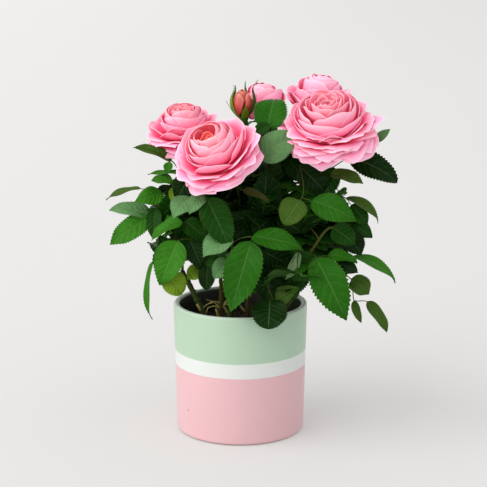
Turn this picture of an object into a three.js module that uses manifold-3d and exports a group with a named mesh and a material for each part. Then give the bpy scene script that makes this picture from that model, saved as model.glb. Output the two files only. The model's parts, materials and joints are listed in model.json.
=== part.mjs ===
// A miniature rose bush in a glazed pot: millimetres, +Z up, origin at the middle of the pot's underside,
// +Y towards the back of the plant.
import * as THREE from "three";
import { mergeVertices } from "three/addons/utils/BufferGeometryUtils.js";
import Module from "manifold-3d";

const wasm = await Module();
wasm.setup();

// ---- Driving dimensions ----
const POT_HEIGHT = 127;
const RIM_RADIUS = 65;
const FOOT_RADIUS = 62;
const FOOT_CORNER = 4;
const WALL = 6;
const FLOOR = 8;
const INNER_CORNER = 9;
const POT_SIDES = 36;
const ARC_STEPS = 3;

const SOIL_DEPTH_BELOW_RIM = 22;
const SOIL_SWELL = 1.6;
const SOIL_RINGS = 2;

const CANE_FOOT_RADIUS = 3.4;
const CANE_TIP_RADIUS = 2.2;
const STALK_FOOT_RADIUS = 1.9;
const STALK_TIP_RADIUS = 1.6;
const LIMB_SIDES = 6;
const LIMB_STEP = 16;

const GAP = 0.35; // between touching solids
const MASS_ROUGHNESS = 0.14; // depth of a mass's bumps, as a part of its radius
const BLOOM_ROUGHNESS = 0.08;
const WAVES = 5; // that make up the bumps
const SPRAY_NARROWING = 0.35; // how much slimmer a spray is at its tip than at its middle
const CUP_NARROWING = 0.35; // and a bloom at its stalk
const BUD_NARROWING = 0.28; // and the bud at its point
const BALL_DETAIL = 2; // subdivision of a bloom or a rounded mass
const SPRAY_DETAIL = 1;

// ---- Finishes ----
const finish = (color, roughness) => new THREE.MeshStandardMaterial({ color, roughness, metalness: 0 });
const GLAZE = { color: 0xb4cfb2, roughness: 0.25 };
const SOIL = { color: 0x33261b, roughness: 0.95 };
const BARK = { color: 0x5b6b2a, roughness: 0.7 };
const LEAF = { color: 0x2f6a24, roughness: 0.55 };
const PETAL = { color: 0xf08fac, roughness: 0.6 };
const SEPAL = { color: 0xa8483f, roughness: 0.6 };

// ---- Layout ----
// Canes rise from the soil and end inside a mass of leaves; stalks rise out of a mass and carry a bloom.
const CANES = [
  { name: "cane_left", points: [[-29, -16, 102], [-40, -13, 128], [-55, -12, 158]] },
  { name: "cane_front", points: [[-21, -9, 102], [-18, -14, 138], [-20, -33, 170]] },
  { name: "cane_middle", points: [[-11, 5, 102], [-7, 7, 148], [1, 6, 192]] },
  { name: "cane_back", points: [[7, 26, 102], [9, 42, 136], [9, 62, 168]] },
  { name: "cane_right", points: [[24, -2, 102], [37, -5, 135], [57, -9, 174]] },
  { name: "cane_low_right", points: [[30, -20, 102], [41, -31, 124], [52, -36, 142]] },
];

const STALKS = [
  { name: "stalk_front_bloom", points: [[-6, -10, 248], [-11, -20, 256], [-16, -33, 265]] },
  { name: "stalk_left_bloom", points: [[-46, 14, 228], [-47, 20, 252], [-50, 29, 277]] },
  { name: "stalk_right_bloom", points: [[72, 0, 216], [82, 0, 248], [91, -10, 281]] },
  { name: "stalk_back_bloom", points: [[60, 44, 276], [66, 46, 289], [71, 47, 302]] },
  { name: "stalk_middle_bloom", points: [[34, 38, 276], [31, 38, 290], [30, 36, 303]] },
  { name: "stalk_bud", points: [[11, 4, 250], [10, 5, 282], [4, 5, 307]] },
];

// A bloom is a wide dome over a narrower cup, facing along its axis.
const BLOOMS = [
  { name: "bloom_front", middle: [-19, -50, 280], axis: [-0.14, -0.66, 0.74], radius: 42, height: 26, cup: 26 },
  { name: "bloom_left", middle: [-53, 25, 294], axis: [-0.16, -0.3, 0.94], radius: 37, height: 17, cup: 21 },
  { name: "bloom_right", middle: [87, -25, 300], axis: [-0.1, -0.5, 0.86], radius: 46.5, height: 25, cup: 27 },
  { name: "bloom_back", middle: [74, 47, 322], axis: [0.1, 0.1, 0.99], radius: 31, height: 20, cup: 22 },
  { name: "bloom_middle", middle: [29, 37, 318], axis: [-0.1, 0.1, 0.99], radius: 22, height: 18, cup: 18 },
];

const BUD_SHAPE = { middle: [2.5, 5, 319], axis: [-0.08, 0, 1], width: 24, height: 30 };

// Rounded masses of leaves, by the middle and the three radii.
const MASSES = [
  { name: "foliage_heart", middle: [6, 2, 222], radii: [44, 36, 44] },
  { name: "foliage_left_core", middle: [-48, 10, 214], radii: [33, 36, 32] },
  { name: "foliage_right_core", middle: [71, -5, 203], radii: [39, 33, 41] },
  { name: "foliage_back_left", middle: [-52, 64, 200], radii: [37, 34, 38] },
  { name: "foliage_back_middle", middle: [8, 80, 186], radii: [32, 30, 42] },
  { name: "foliage_back_right", middle: [66, 64, 194], radii: [38, 34, 37] },
  { name: "foliage_back_top", middle: [56, 40, 261], radii: [42, 28, 23] },
  { name: "foliage_front_upper", middle: [-26, -46, 218], radii: [27, 22, 26] },
  { name: "foliage_front_lower", middle: [-22, -46, 180], radii: [19, 20, 20] },
  { name: "foliage_front_right", middle: [35, -50, 188], radii: [28, 22, 26] },
  { name: "foliage_left_lower", middle: [-59, -28, 170], radii: [28, 26, 31] },
  { name: "foliage_right_upper", middle: [74, -36, 229], radii: [37, 25, 17] },
  { name: "foliage_low_right", middle: [48, -34, 150], radii: [31, 22, 20] },
  { name: "foliage_top", middle: [32, -8, 288], radii: [21, 12, 32] },
];

// Flat sprays of leaves, from the side near the cane to the furthest tip; faces is the flat side's outlook.
const SPRAYS = [
  { name: "left_crest", from: [-48, 6, 240], to: [-104, 6, 277], wide: 36, thick: 22, faces: [0, -0.6, 1] },
  { name: "left_upper", from: [-70, 0, 226], to: [-130, -2, 219], wide: 38, thick: 30, faces: [0, -0.4, 1] },
  { name: "left_middle", from: [-62, -14, 208], to: [-127, -12, 189], wide: 38, thick: 24, faces: [0, -0.5, 1] },
  { name: "left_hanging", from: [-84, -10, 168], to: [-89, -10, 109], wide: 24, thick: 13, faces: [1, 0, 0] },
  { name: "front_hanging", from: [8, -60, 208], to: [-8, -70, 134], wide: 40, thick: 15, faces: [0, -1, 0.2] },
  { name: "over_rim", from: [45, -54, 156], to: [22, -73, 112], wide: 38, thick: 13, faces: [0, -1, 0] },
  { name: "right_far", from: [96, -2, 226], to: [137, -4, 204], wide: 34, thick: 17, faces: [0, -0.4, 1] },
  { name: "right_crest", from: [80, 22, 263], to: [158, 10, 244], wide: 36, thick: 20, faces: [0.2, -0.5, 1] },
  { name: "right_middle", from: [98, -8, 192], to: [154, -11, 147], wide: 34, thick: 18, faces: [0.4, -0.4, 1] },
  { name: "right_front", from: [76, -42, 186], to: [98, -56, 121], wide: 42, thick: 20, faces: [0.3, -1, 0.4] },
  { name: "right_hanging", from: [89, -18, 177], to: [144, -20, 99], wide: 28, thick: 18, faces: [0.5, -1, 0.4] },
  { name: "back_left", from: [-52, 72, 178], to: [-74, 104, 134], wide: 44, thick: 17, faces: [-0.3, 0.7, 0.7] },
  { name: "back_middle", from: [2, 90, 168], to: [-12, 114, 116], wide: 42, thick: 17, faces: [0, 1, 0.5] },
  { name: "back_right", from: [78, 72, 180], to: [98, 104, 138], wide: 44, thick: 17, faces: [0.3, 0.7, 0.7] },
];

// ---- Solids ----
function solidOf(geometry) {
  const bare = geometry.clone();
  bare.deleteAttribute("normal");
  bare.deleteAttribute("uv");
  const merged = mergeVertices(bare, 1e-3);
  return new wasm.Manifold(
    new wasm.Mesh({
      numProp: 3,
      vertProperties: new Float32Array(merged.attributes.position.array),
      triVerts: new Uint32Array(merged.index.array),
    }),
  );
}

function geometryOf(solid) {
  const mesh = solid.getMesh();
  const geometry = new THREE.BufferGeometry();
  geometry.setAttribute("position", new THREE.BufferAttribute(mesh.vertProperties, 3));
  geometry.setIndex(new THREE.BufferAttribute(mesh.triVerts, 1));
  return geometry;
}

// The largest body of a solid that a cut has left in several.
function largestBody(solid) {
  return solid.decompose().reduce((best, body) => (body.volume() > best.volume() ? body : best));
}

// Moves every vertex of a geometry to where the function sends it.
function reshape(geometry, move) {
  const position = geometry.getAttribute("position");
  const vertex = new THREE.Vector3();
  for (let i = 0; i < position.count; i++) {
    move(vertex.fromBufferAttribute(position, i));
    position.setXYZ(i, vertex.x, vertex.y, vertex.z);
  }
  return geometry;
}

// ---- Pot and soil ----
const innerRadiusAt = (z) => FOOT_RADIUS - WALL + ((RIM_RADIUS - FOOT_RADIUS) * z) / POT_HEIGHT;

function arc(centreR, centreZ, radius, startDegrees, endDegrees) {
  return Array.from({ length: ARC_STEPS + 1 }, (_, i) => {
    const angle = THREE.MathUtils.degToRad(startDegrees + ((endDegrees - startDegrees) * i) / ARC_STEPS);
    return new THREE.Vector2(centreR + radius * Math.cos(angle), centreZ + radius * Math.sin(angle));
  });
}

function turned(profile) {
  return new THREE.LatheGeometry(profile, POT_SIDES).rotateX(Math.PI / 2);
}

// A straight, slightly flared wall with a round lip over a flat floor; grow thickens it on every face.
function potGeometry(grow) {
  const lip = WALL / 2;
  return turned([
    new THREE.Vector2(0, -grow),
    ...arc(FOOT_RADIUS - FOOT_CORNER, FOOT_CORNER, FOOT_CORNER + grow, -90, 0),
    ...arc(RIM_RADIUS - lip, POT_HEIGHT - lip, lip + grow, 0, 180),
    ...arc(innerRadiusAt(0) - INNER_CORNER, FLOOR + INNER_CORNER, INNER_CORNER - grow, 0, -90),
    new THREE.Vector2(0, FLOOR + grow),
  ]);
}

// The soil is drawn half into the pot's wall and floor, so that the cut leaves it filling the pot.
function soilGeometry() {
  const top = POT_HEIGHT - SOIL_DEPTH_BELOW_RIM;
  const edge = innerRadiusAt(top) + WALL / 2;
  const surface = Array.from(
    { length: SOIL_RINGS + 1 },
    (_, i) => new THREE.Vector2(edge * (1 - i / SOIL_RINGS), top),
  );
  const profile = [new THREE.Vector2(0, FLOOR / 2), new THREE.Vector2(edge, FLOOR / 2), ...surface];
  return reshape(turned(profile), (v) => {
    const isSurface = v.z > top - 1 && Math.hypot(v.x, v.y) < edge - 1;
    if (isSurface) v.z += SOIL_SWELL * (Math.sin(v.x / 9 + 1) + Math.sin(v.y / 7));
  });
}

// ---- Limbs ----
// One tapering limb along a smooth curve; grow thickens it and lengthens both ends.
function limbGeometry(points, footRadius, tipRadius, grow) {
  const bends = points.map((point) => new THREE.Vector3(...point));
  const pastFoot = bends[0].clone().sub(bends[1]).setLength(grow);
  const pastTip = bends.at(-1).clone().sub(bends.at(-2)).setLength(grow);
  bends[0].add(pastFoot);
  bends.at(-1).add(pastTip);
  const path = new THREE.CatmullRomCurve3(bends);
  const steps = Math.max(3, Math.round(path.getLength() / LIMB_STEP));
  const { normals, binormals } = path.computeFrenetFrames(steps);
  const rod = new THREE.CylinderGeometry(tipRadius + grow, footRadius + grow, 1, LIMB_SIDES, steps);
  return reshape(rod, (v) => {
    const step = Math.round((v.y + 0.5) * steps);
    const { x, z } = v;
    v.copy(path.getPointAt(step / steps)).addScaledVector(normals[step], x).addScaledVector(binormals[step], -z);
  });
}

// ---- Blooms and foliage ----
// A slow wave over all directions, from -1 to 1, that differs from seed to seed.
function unevenness(direction, seed) {
  let sum = 0;
  for (let wave = 1; wave <= WAVES; wave++) {
    const phase = seed * 1.73 + wave * 2.41;
    const crest = new THREE.Vector3(Math.cos(phase), Math.sin(phase * 1.31), Math.sin(phase)).normalize();
    sum += Math.sin(direction.dot(crest) * (2 + wave) + phase * 3);
  }
  return sum / WAVES;
}

const swellAt = (direction, roughness, seed) => 1 + roughness * unevenness(direction, seed);

// A frame whose X runs along one direction and whose Z comes as near as it can to another.
function frameAlong(middle, along, towards) {
  const x = new THREE.Vector3(...along).normalize();
  const y = new THREE.Vector3(...towards).cross(x).normalize();
  return new THREE.Matrix4().makeBasis(x, y, x.clone().cross(y)).setPosition(...middle);
}

// Reshapes a ball of radius 1 by a function of a vertex's direction, which moves the vertex and returns
// the way that is outwards there; grow moves it on that way.
function ball(detail, shape, grow) {
  const margin = grow * 1.3; // the flat facets of a grown ball cut inside its round surface
  return reshape(new THREE.IcosahedronGeometry(1, detail), (v) => {
    const outwards = shape(v);
    v.addScaledVector(outwards.normalize(), margin);
  });
}

// A bloom: a dome with a lobed edge over a cup that narrows to the stalk, facing along X.
function bloomGeometry({ middle, axis, radius, height, cup }, seed, grow) {
  const shape = (v) => {
    const swell = swellAt(v, BLOOM_ROUGHNESS, seed);
    const waist = v.x < 0 ? 1 + CUP_NARROWING * v.x : 1;
    const across = radius * swell * waist * Math.sqrt(1 + v.x * v.x);
    const along = v.x > 0 ? height * swell : cup;
    v.set(v.x * along, v.y * across, v.z * across);
    return v.clone();
  };
  return ball(BALL_DETAIL, shape, grow).applyMatrix4(frameAlong(middle, axis, [1, 0, 0]));
}

function budGeometry({ middle, axis, width, height }, grow) {
  const shape = (v) => {
    const across = (width / 2) * (1 - BUD_NARROWING * v.x);
    v.set((v.x * height) / 2, v.y * across, v.z * across);
    return v.clone();
  };
  return ball(BALL_DETAIL, shape, grow).applyMatrix4(frameAlong(middle, axis, [1, 0, 0]));
}

function massGeometry({ middle, radii }, seed, grow) {
  const size = new THREE.Vector3(...radii);
  const shape = (v) => {
    const outwards = v.clone().divide(size);
    v.multiplyScalar(swellAt(v, MASS_ROUGHNESS, seed)).multiply(size);
    return outwards;
  };
  return ball(BALL_DETAIL, shape, grow).translate(...middle);
}

// A spray is thickest near the cane and narrows towards its tip, where one leaf reaches out.
function sprayGeometry({ from, to, wide, thick, faces }, seed, grow) {
  const root = new THREE.Vector3(...from);
  const tip = new THREE.Vector3(...to);
  const middle = root.clone().lerp(tip, 0.5).toArray();
  const size = new THREE.Vector3(root.distanceTo(tip) / 2, wide / 2, thick / 2);
  const shape = (v) => {
    const outwards = v.clone().divide(size);
    const across = (1 - SPRAY_NARROWING * v.x) * swellAt(v, MASS_ROUGHNESS, seed);
    v.set(v.x, v.y * across, v.z * across).multiply(size);
    return outwards;
  };
  return ball(SPRAY_DETAIL, shape, grow).applyMatrix4(frameAlong(middle, tip.sub(root).toArray(), faces));
}

// ---- Assembly ----
const plant = new THREE.Group();
const grownSolids = []; // each solid so far, thickened by the gap that the later ones keep

// Adds a solid, cut clear of every one before it. shape makes its geometry, grown by the distance it is given.
function place(name, look, shape) {
  let solid = solidOf(shape(0));
  for (const grown of grownSolids) solid = solid.subtract(grown);
  const mesh = new THREE.Mesh(geometryOf(largestBody(solid)), finish(look.color, look.roughness));
  mesh.name = name;
  plant.add(mesh);
  grownSolids.push(solidOf(shape(GAP)));
}

place("pot", GLAZE, potGeometry);
for (const { name, points } of CANES)
  place(name, BARK, (grow) => limbGeometry(points, CANE_FOOT_RADIUS, CANE_TIP_RADIUS, grow));
place("soil", SOIL, soilGeometry);
for (const { name, points } of STALKS)
  place(name, BARK, (grow) => limbGeometry(points, STALK_FOOT_RADIUS, STALK_TIP_RADIUS, grow));
BLOOMS.forEach((bloom, i) => place(bloom.name, PETAL, (grow) => bloomGeometry(bloom, i + 1, grow)));
place("bud", SEPAL, (grow) => budGeometry(BUD_SHAPE, grow));
MASSES.forEach((mass, i) => place(mass.name, LEAF, (grow) => massGeometry(mass, i + 11, grow)));
SPRAYS.forEach((spray, i) => place(`spray_${spray.name}`, LEAF, (grow) => sprayGeometry(spray, i + 41, grow)));

export default plant;
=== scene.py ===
"""A potted miniature rose: glazed banded pot, compost, green canes, toothed leaves, five blooms and a bud.

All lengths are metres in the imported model's frame: +Z is up, and the pot stands on Z = 0 with its axis on Z.
Offsets that a person reads and edits are written in millimetres and turned to metres by MM.
"""

import json
import logging
import math
from dataclasses import dataclass, field
from enum import Enum
from functools import lru_cache
from typing import Callable, Iterable, Sequence

import bpy
import numpy as np
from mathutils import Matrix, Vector, noise

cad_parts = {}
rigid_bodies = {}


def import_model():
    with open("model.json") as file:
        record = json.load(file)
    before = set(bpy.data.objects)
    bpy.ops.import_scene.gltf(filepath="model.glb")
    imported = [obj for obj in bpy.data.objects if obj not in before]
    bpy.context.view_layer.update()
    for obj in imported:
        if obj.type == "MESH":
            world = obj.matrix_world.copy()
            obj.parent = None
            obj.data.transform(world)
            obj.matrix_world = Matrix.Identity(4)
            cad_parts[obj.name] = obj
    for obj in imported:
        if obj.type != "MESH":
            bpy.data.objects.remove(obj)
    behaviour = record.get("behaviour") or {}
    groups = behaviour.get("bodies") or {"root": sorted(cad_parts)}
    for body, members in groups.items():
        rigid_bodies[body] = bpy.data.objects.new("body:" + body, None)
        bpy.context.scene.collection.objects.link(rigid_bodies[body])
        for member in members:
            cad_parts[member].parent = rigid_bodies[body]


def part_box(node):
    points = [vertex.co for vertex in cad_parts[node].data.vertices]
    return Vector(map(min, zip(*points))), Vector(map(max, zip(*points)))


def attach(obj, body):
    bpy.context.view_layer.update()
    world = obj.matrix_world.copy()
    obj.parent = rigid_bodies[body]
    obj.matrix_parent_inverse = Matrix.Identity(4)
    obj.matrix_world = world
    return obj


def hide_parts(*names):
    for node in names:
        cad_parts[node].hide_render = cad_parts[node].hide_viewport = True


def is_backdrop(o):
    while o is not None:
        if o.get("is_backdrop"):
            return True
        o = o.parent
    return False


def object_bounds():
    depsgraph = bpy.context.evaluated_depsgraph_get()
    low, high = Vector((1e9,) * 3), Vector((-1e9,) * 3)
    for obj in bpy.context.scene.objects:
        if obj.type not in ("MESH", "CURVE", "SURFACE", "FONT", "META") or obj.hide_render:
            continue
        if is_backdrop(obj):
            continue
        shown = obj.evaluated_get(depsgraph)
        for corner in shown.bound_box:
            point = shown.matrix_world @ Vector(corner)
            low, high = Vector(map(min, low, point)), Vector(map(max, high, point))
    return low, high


MM = 0.001
BODY = "root"
UP = np.array([0.0, 0.0, 1.0])
GOLDEN_ANGLE = math.radians(137.5)
SMOOTH_ANGLE = math.radians(50)
BAKE_MAP = "OFBake"
ATLAS_SIDE = 4
TONES = ATLAS_SIDE * ATLAS_SIDE // 2
TINY = 1e-12
SAME = 0.01 * MM
CLOSE = 0.1 * MM
FACES_UP = 0.9
SEPAL_THICKNESS = 0.4 * MM

log = logging.getLogger("potted_rose")

Array = np.ndarray
Random = np.random.Generator
Object = bpy.types.Object
Material = bpy.types.Material
Socket = bpy.types.NodeSocket
Vec = Sequence[float]
Pair = tuple[float, float]
Triple = tuple[float, float, float]
Colour = tuple[int, int, int]
Stop = tuple[float, Colour]
Stops = tuple[Stop, ...]


# ---- Small sums ----
def linear(colour: Colour) -> tuple[float, float, float, float]:
    """Turns a 0-255 display colour into the linear colour that shaders use."""
    channels = [c / 255 for c in colour]
    return (*[c / 12.92 if c <= 0.04045 else ((c + 0.055) / 1.055) ** 2.4 for c in channels], 1.0)


def unit(v: Vec) -> Array:
    """Gives a vector's direction."""
    v = np.asarray(v, float)
    return v / max(float(np.linalg.norm(v)), TINY)


def ease(x: Array | float) -> Array | float:
    """Goes smoothly from 0 to 1 as x does."""
    x = np.clip(x, 0, 1)
    return x * x * (3 - 2 * x)


def between(a: float, b: float, share: float) -> float:
    """Gives the number at a share of the way from a to b."""
    return a + (b - a) * share


def hermite(start: Array, end: Array, leave: Array, arrive: Array, s: Array) -> Array:
    """Points at shares s along the smooth curve from start to end, with those velocities at its ends."""
    s = np.asarray(s, float)[..., None]
    s2, s3 = s * s, s * s * s
    first = (2 * s3 - 3 * s2 + 1) * start + (s3 - 2 * s2 + s) * leave
    return first + (3 * s2 - 2 * s3) * end + (s3 - s2) * arrive


def axes_along(along: Vec, facing: Vec) -> tuple[Array, Array, Array]:
    """Builds right-handed axes (across, along, face) whose face comes as near as it can to facing."""
    y = unit(along)
    z = np.asarray(facing, float)
    z = unit(z - y * float(z @ y))
    return np.cross(y, z), y, z


def upright_axes(axis: Vec) -> Array:
    """Builds axes, as rows, whose third is the given one and whose first lies as near to +X as it can."""
    z = unit(axis)
    x = unit(np.array([1.0, 0, 0]) - z * z[0])
    return np.array([x, np.cross(z, x), z])


def node_middle(name: str) -> Array:
    """Gives the middle of a CAD node's box."""
    low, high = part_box(name)
    return (np.array(low) + np.array(high)) / 2


def centre_line(name: str, levels: int = 7, margin: float = 0.1) -> Array:
    """Finds the middle line of a rising CAD limb from level slices through it.

    Args:
        name: The CAD node.
        levels: How many slices are cut.
        margin: Share of the height left at each end, where a slice would meet the end face.

    Returns:
        The line's points, foot first, carried on to the limb's own ends.
    """
    mesh = bpy.data.objects[name].data
    places = np.array([v.co for v in mesh.vertices])
    ends = np.array([e.vertices[:] for e in mesh.edges])
    a, b = places[ends[:, 0]], places[ends[:, 1]]
    low, high = places[:, 2].min(), places[:, 2].max()
    middles = []
    for level in np.linspace(between(low, high, margin), between(low, high, 1 - margin), levels):
        cut = (a[:, 2] - level) * (b[:, 2] - level) < 0
        share = ((level - a[cut, 2]) / (b[cut, 2] - a[cut, 2]))[:, None]
        met = a[cut] + (b[cut] - a[cut]) * share
        middles.append((met.min(0) + met.max(0)) / 2)
    line = np.array(middles)
    reach = (levels - 1) * margin / (1 - 2 * margin)
    foot = line[0] + (line[0] - line[1]) * reach
    tip = line[-1] + (line[-1] - line[-2]) * reach
    return np.vstack([foot, line, tip])


def resample(line: Array, step: float) -> Array:
    """Gives points at even steps along a smooth curve through the line's points."""
    ends = np.vstack([2 * line[0] - line[1], line, 2 * line[-1] - line[-2]])
    pieces = []
    for p0, p1, p2, p3 in zip(ends, ends[1:], ends[2:], ends[3:], strict=False):
        count = max(2, round(float(np.linalg.norm(p2 - p1)) / step) + 1)
        pieces.append(hermite(p1, p2, (p2 - p0) / 2, (p3 - p1) / 2, np.linspace(0, 1, count)[:-1]))
    return np.vstack([*pieces, line[-1:]])


# ---- Meshes from arrays ----
@lru_cache(maxsize=None)
def sheet_faces(rows: int, cols: int) -> tuple[Array, Array, Array]:
    """Upper, lower and rim faces of a thin closed sheet whose lower points follow its upper ones."""
    grid = np.arange(rows * cols).reshape(rows, cols)
    upper = np.stack([grid[:-1, :-1], grid[:-1, 1:], grid[1:, 1:], grid[1:, :-1]], -1).reshape(-1, 4)
    lower = upper[:, ::-1] + rows * cols
    loop = np.concatenate([grid[0, :-1], grid[:-1, -1], grid[-1, :0:-1], grid[:0:-1, 0]])
    after = np.roll(loop, -1)
    rim = np.stack([after, loop, loop + rows * cols, after + rows * cols], -1)
    return upper, lower, rim


def sheet_normals(points: Array) -> Array:
    """Directions square to a sheet's grid, on the side from which rows run up and columns run right."""
    square = np.cross(np.gradient(points, axis=1), np.gradient(points, axis=0))
    length = np.linalg.norm(square, axis=-1, keepdims=True)
    average = unit(square.sum((0, 1)))
    return np.where(length > TINY, square / np.maximum(length, TINY), average)


class MeshBuffer:
    """Gathers many small closed shapes and makes one mesh of them."""

    RIM_INSET = 0.96
    CELL_MARGIN = 0.04
    OFF_AXIS = (0.31, 0.77, 0.55)
    LUMPS_PER_MM = 0.45
    LUMPS_ROUND = 1.3
    FOOT_CAP = 0.5
    TIP_CAP = 0.9

    def __init__(self) -> None:
        """Starts empty."""
        self.points: list[Array] = []
        self.faces: list[Array] = []
        self.maps: list[Array] = []
        self.slots: list[Array] = []
        self.cells: list[Array] = []
        self.tones: list[Array] = []
        self.size = 0

    def add(self, points: Array, faces: Array, maps: Array, tone: float, slot: Vec, cell: Vec) -> None:
        """Adds one shape.

        Args:
            points: Its points, (n, 3).
            faces: Its four-cornered faces, (m, 4).
            maps: A place on the pattern for each face corner, (m, 4, 2).
            tone: The shape's tone, from 0 to 1.
            slot: A material number for each face.
            cell: A cell of the atlas for each face.
        """
        self.points.append(points)
        self.faces.append(faces + self.size)
        self.maps.append(maps)
        self.slots.append(np.asarray(slot, int))
        self.cells.append(np.asarray(cell, int))
        self.tones.append(np.full(len(points), tone))
        self.size += len(points)

    def add_sheet(self, points: Array, thickness: float, tone: float, step: int) -> None:
        """Adds a thin closed sheet on a grid of points; step numbers its tone and picks the atlas cell."""
        rows, cols = points.shape[:2]
        upper, lower, rim = sheet_faces(rows, cols)
        lift = sheet_normals(points) * thickness / 2
        both = np.concatenate([(points + lift).reshape(-1, 3), (points - lift).reshape(-1, 3)])
        u, v = np.meshgrid(np.linspace(0, 1, cols), np.linspace(0, 1, rows))
        flat = np.stack([u, v], -1).reshape(-1, 2)
        inner = 0.5 + (flat - 0.5) * self.RIM_INSET
        maps = np.concatenate([flat, inner])
        maps_lower = np.concatenate([flat, flat])
        faces = np.concatenate([upper, lower, rim])
        places = np.concatenate([maps[upper], maps_lower[lower], maps[rim]])
        slots = np.repeat([0, 1, 0], [len(upper), len(lower), len(rim)])
        self.add(both, faces, places, tone, slots, step + TONES * slots)

    def add_tube(self, line: Array, radii: Array, sides: int, tone: float, lumps: float = 0.0) -> None:
        """Adds a closed tapering tube round a line; lumps is its relief as a share of the radius."""
        ahead = np.gradient(line, axis=0)
        ahead /= np.maximum(np.linalg.norm(ahead, axis=1, keepdims=True), TINY)
        side = unit(np.cross(ahead[0], self.OFF_AXIS))
        rings = []
        turns = np.linspace(0, 2 * math.pi, sides, endpoint=False)
        for place, way, radius in zip(line, ahead, radii, strict=True):
            side = unit(side - way * float(side @ way))
            other = np.cross(way, side)
            spot = place / MM * self.LUMPS_PER_MM
            spots = spot + np.outer(turns * self.LUMPS_ROUND, [1.0, 0, 0])
            rough = np.array([noise.noise(Vector(p)) for p in spots])
            ring = np.cos(turns)[:, None] * side + np.sin(turns)[:, None] * other
            rings.append(place + ring * (radius * (1 + lumps * rough))[:, None])
        count = len(line)
        foot = line[0] - ahead[0] * radii[0] * self.FOOT_CAP
        tip = line[-1] + ahead[-1] * radii[-1] * self.TIP_CAP
        points = np.vstack([*rings, foot, tip])
        ring = np.arange(sides)
        after = np.roll(ring, -1)
        band = np.stack([ring, after, after + sides, ring + sides], -1)
        quads = [band + sides * i for i in range(count - 1)]
        half = sides // 2
        start, stop, last = sides * count, sides * count + 1, sides * (count - 1)
        caps = []
        for i in range(half):
            a, b, c = (ring[(2 * i + j) % sides] for j in range(3))
            caps.append([[start, c, b, a], [stop, a + last, b + last, c + last]])
        faces = np.concatenate([*quads, np.array(caps).reshape(-1, 4)])
        maps = np.zeros((len(faces), 4, 2))
        self.add(points, faces, maps, tone, np.zeros(len(faces)), np.zeros(len(faces)))

    def piece(self, name: str, materials: Sequence[Material], pattern: str | None) -> Object:
        """Makes the gathered shapes one object at the origin.

        Args:
            name: The piece's name.
            materials: Its materials, in slot order.
            pattern: The name of the pattern map, or None where the materials need none.

        Returns:
            The new object.
        """
        points, faces = np.concatenate(self.points), np.concatenate(self.faces)
        mesh = bpy.data.meshes.new(name)
        mesh.vertices.add(len(points))
        mesh.vertices.foreach_set("co", points.astype(np.float32).ravel())
        mesh.loops.add(faces.size)
        mesh.loops.foreach_set("vertex_index", faces.astype(np.int32).ravel())
        mesh.polygons.add(len(faces))
        mesh.polygons.foreach_set("loop_start", np.arange(0, faces.size, 4, dtype=np.int32))
        mesh.polygons.foreach_set("material_index", np.concatenate(self.slots).astype(np.int32))
        mesh.update(calc_edges=True)
        tone = mesh.attributes.new("tone", "FLOAT", "POINT")
        tone.data.foreach_set("value", np.concatenate(self.tones).astype(np.float32))
        if pattern:
            maps, cells = np.concatenate(self.maps), np.concatenate(self.cells)
            mesh.uv_layers.new(name=pattern).data.foreach_set("uv", maps.astype(np.float32).ravel())
            corner = np.stack([cells % ATLAS_SIDE, cells // ATLAS_SIDE], -1)[:, None, :]
            inside = self.CELL_MARGIN + maps * (1 - 2 * self.CELL_MARGIN)
            atlas = (corner + inside) / ATLAS_SIDE
            mesh.uv_layers.new(name=BAKE_MAP).data.foreach_set("uv", atlas.astype(np.float32).ravel())
        for material in materials:
            mesh.materials.append(material)
        piece = bpy.data.objects.new(name, mesh)
        bpy.context.scene.collection.objects.link(piece)
        smooth_shade(piece)
        return piece


def select_only(piece: Object) -> None:
    """Leaves one object selected and active."""
    bpy.ops.object.select_all(action="DESELECT")
    piece.select_set(True)
    bpy.context.view_layer.objects.active = piece


def smooth_shade(piece: Object) -> None:
    """Shades a piece smooth, with edges sharper than SMOOTH_ANGLE left crisp."""
    select_only(piece)
    bpy.ops.object.shade_smooth_by_angle(angle=SMOOTH_ANGLE)


def apply_place(piece: Object) -> None:
    """Puts the object's place into its mesh, so that the object sits at the origin."""
    select_only(piece)
    bpy.ops.object.transform_apply(location=True, rotation=True, scale=True)


def pick_parts(piece: Object, kind: str, wanted: Callable[..., bool]) -> None:
    """Enters edit mode with just the faces or edges selected that a test wants.

    Args:
        piece: The piece.
        kind: FACE or EDGE.
        wanted: Takes a face, or the places of an edge's two ends.
    """
    bpy.ops.object.mode_set(mode="EDIT")
    bpy.ops.mesh.select_mode(type=kind)
    bpy.ops.mesh.select_all(action="DESELECT")
    bpy.ops.object.mode_set(mode="OBJECT")
    if kind == "FACE":
        for face in piece.data.polygons:
            face.select = wanted(face)
    else:
        places = [v.co for v in piece.data.vertices]
        for edge in piece.data.edges:
            edge.select = wanted(*(places[i] for i in edge.vertices))
    bpy.ops.object.mode_set(mode="EDIT")


def hand_over(piece: Object, nodes: Iterable[str]) -> None:
    """Rides a piece on the plant's body and hides the CAD nodes it stands for."""
    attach(piece, BODY)
    nodes = list(nodes)
    if nodes:
        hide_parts(*nodes)
    triangles = sum(len(p.vertices) - 2 for p in piece.data.polygons)
    log.info("%s: %d triangles, stands for %s", piece.name, triangles, ", ".join(nodes) or "no node")


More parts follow.
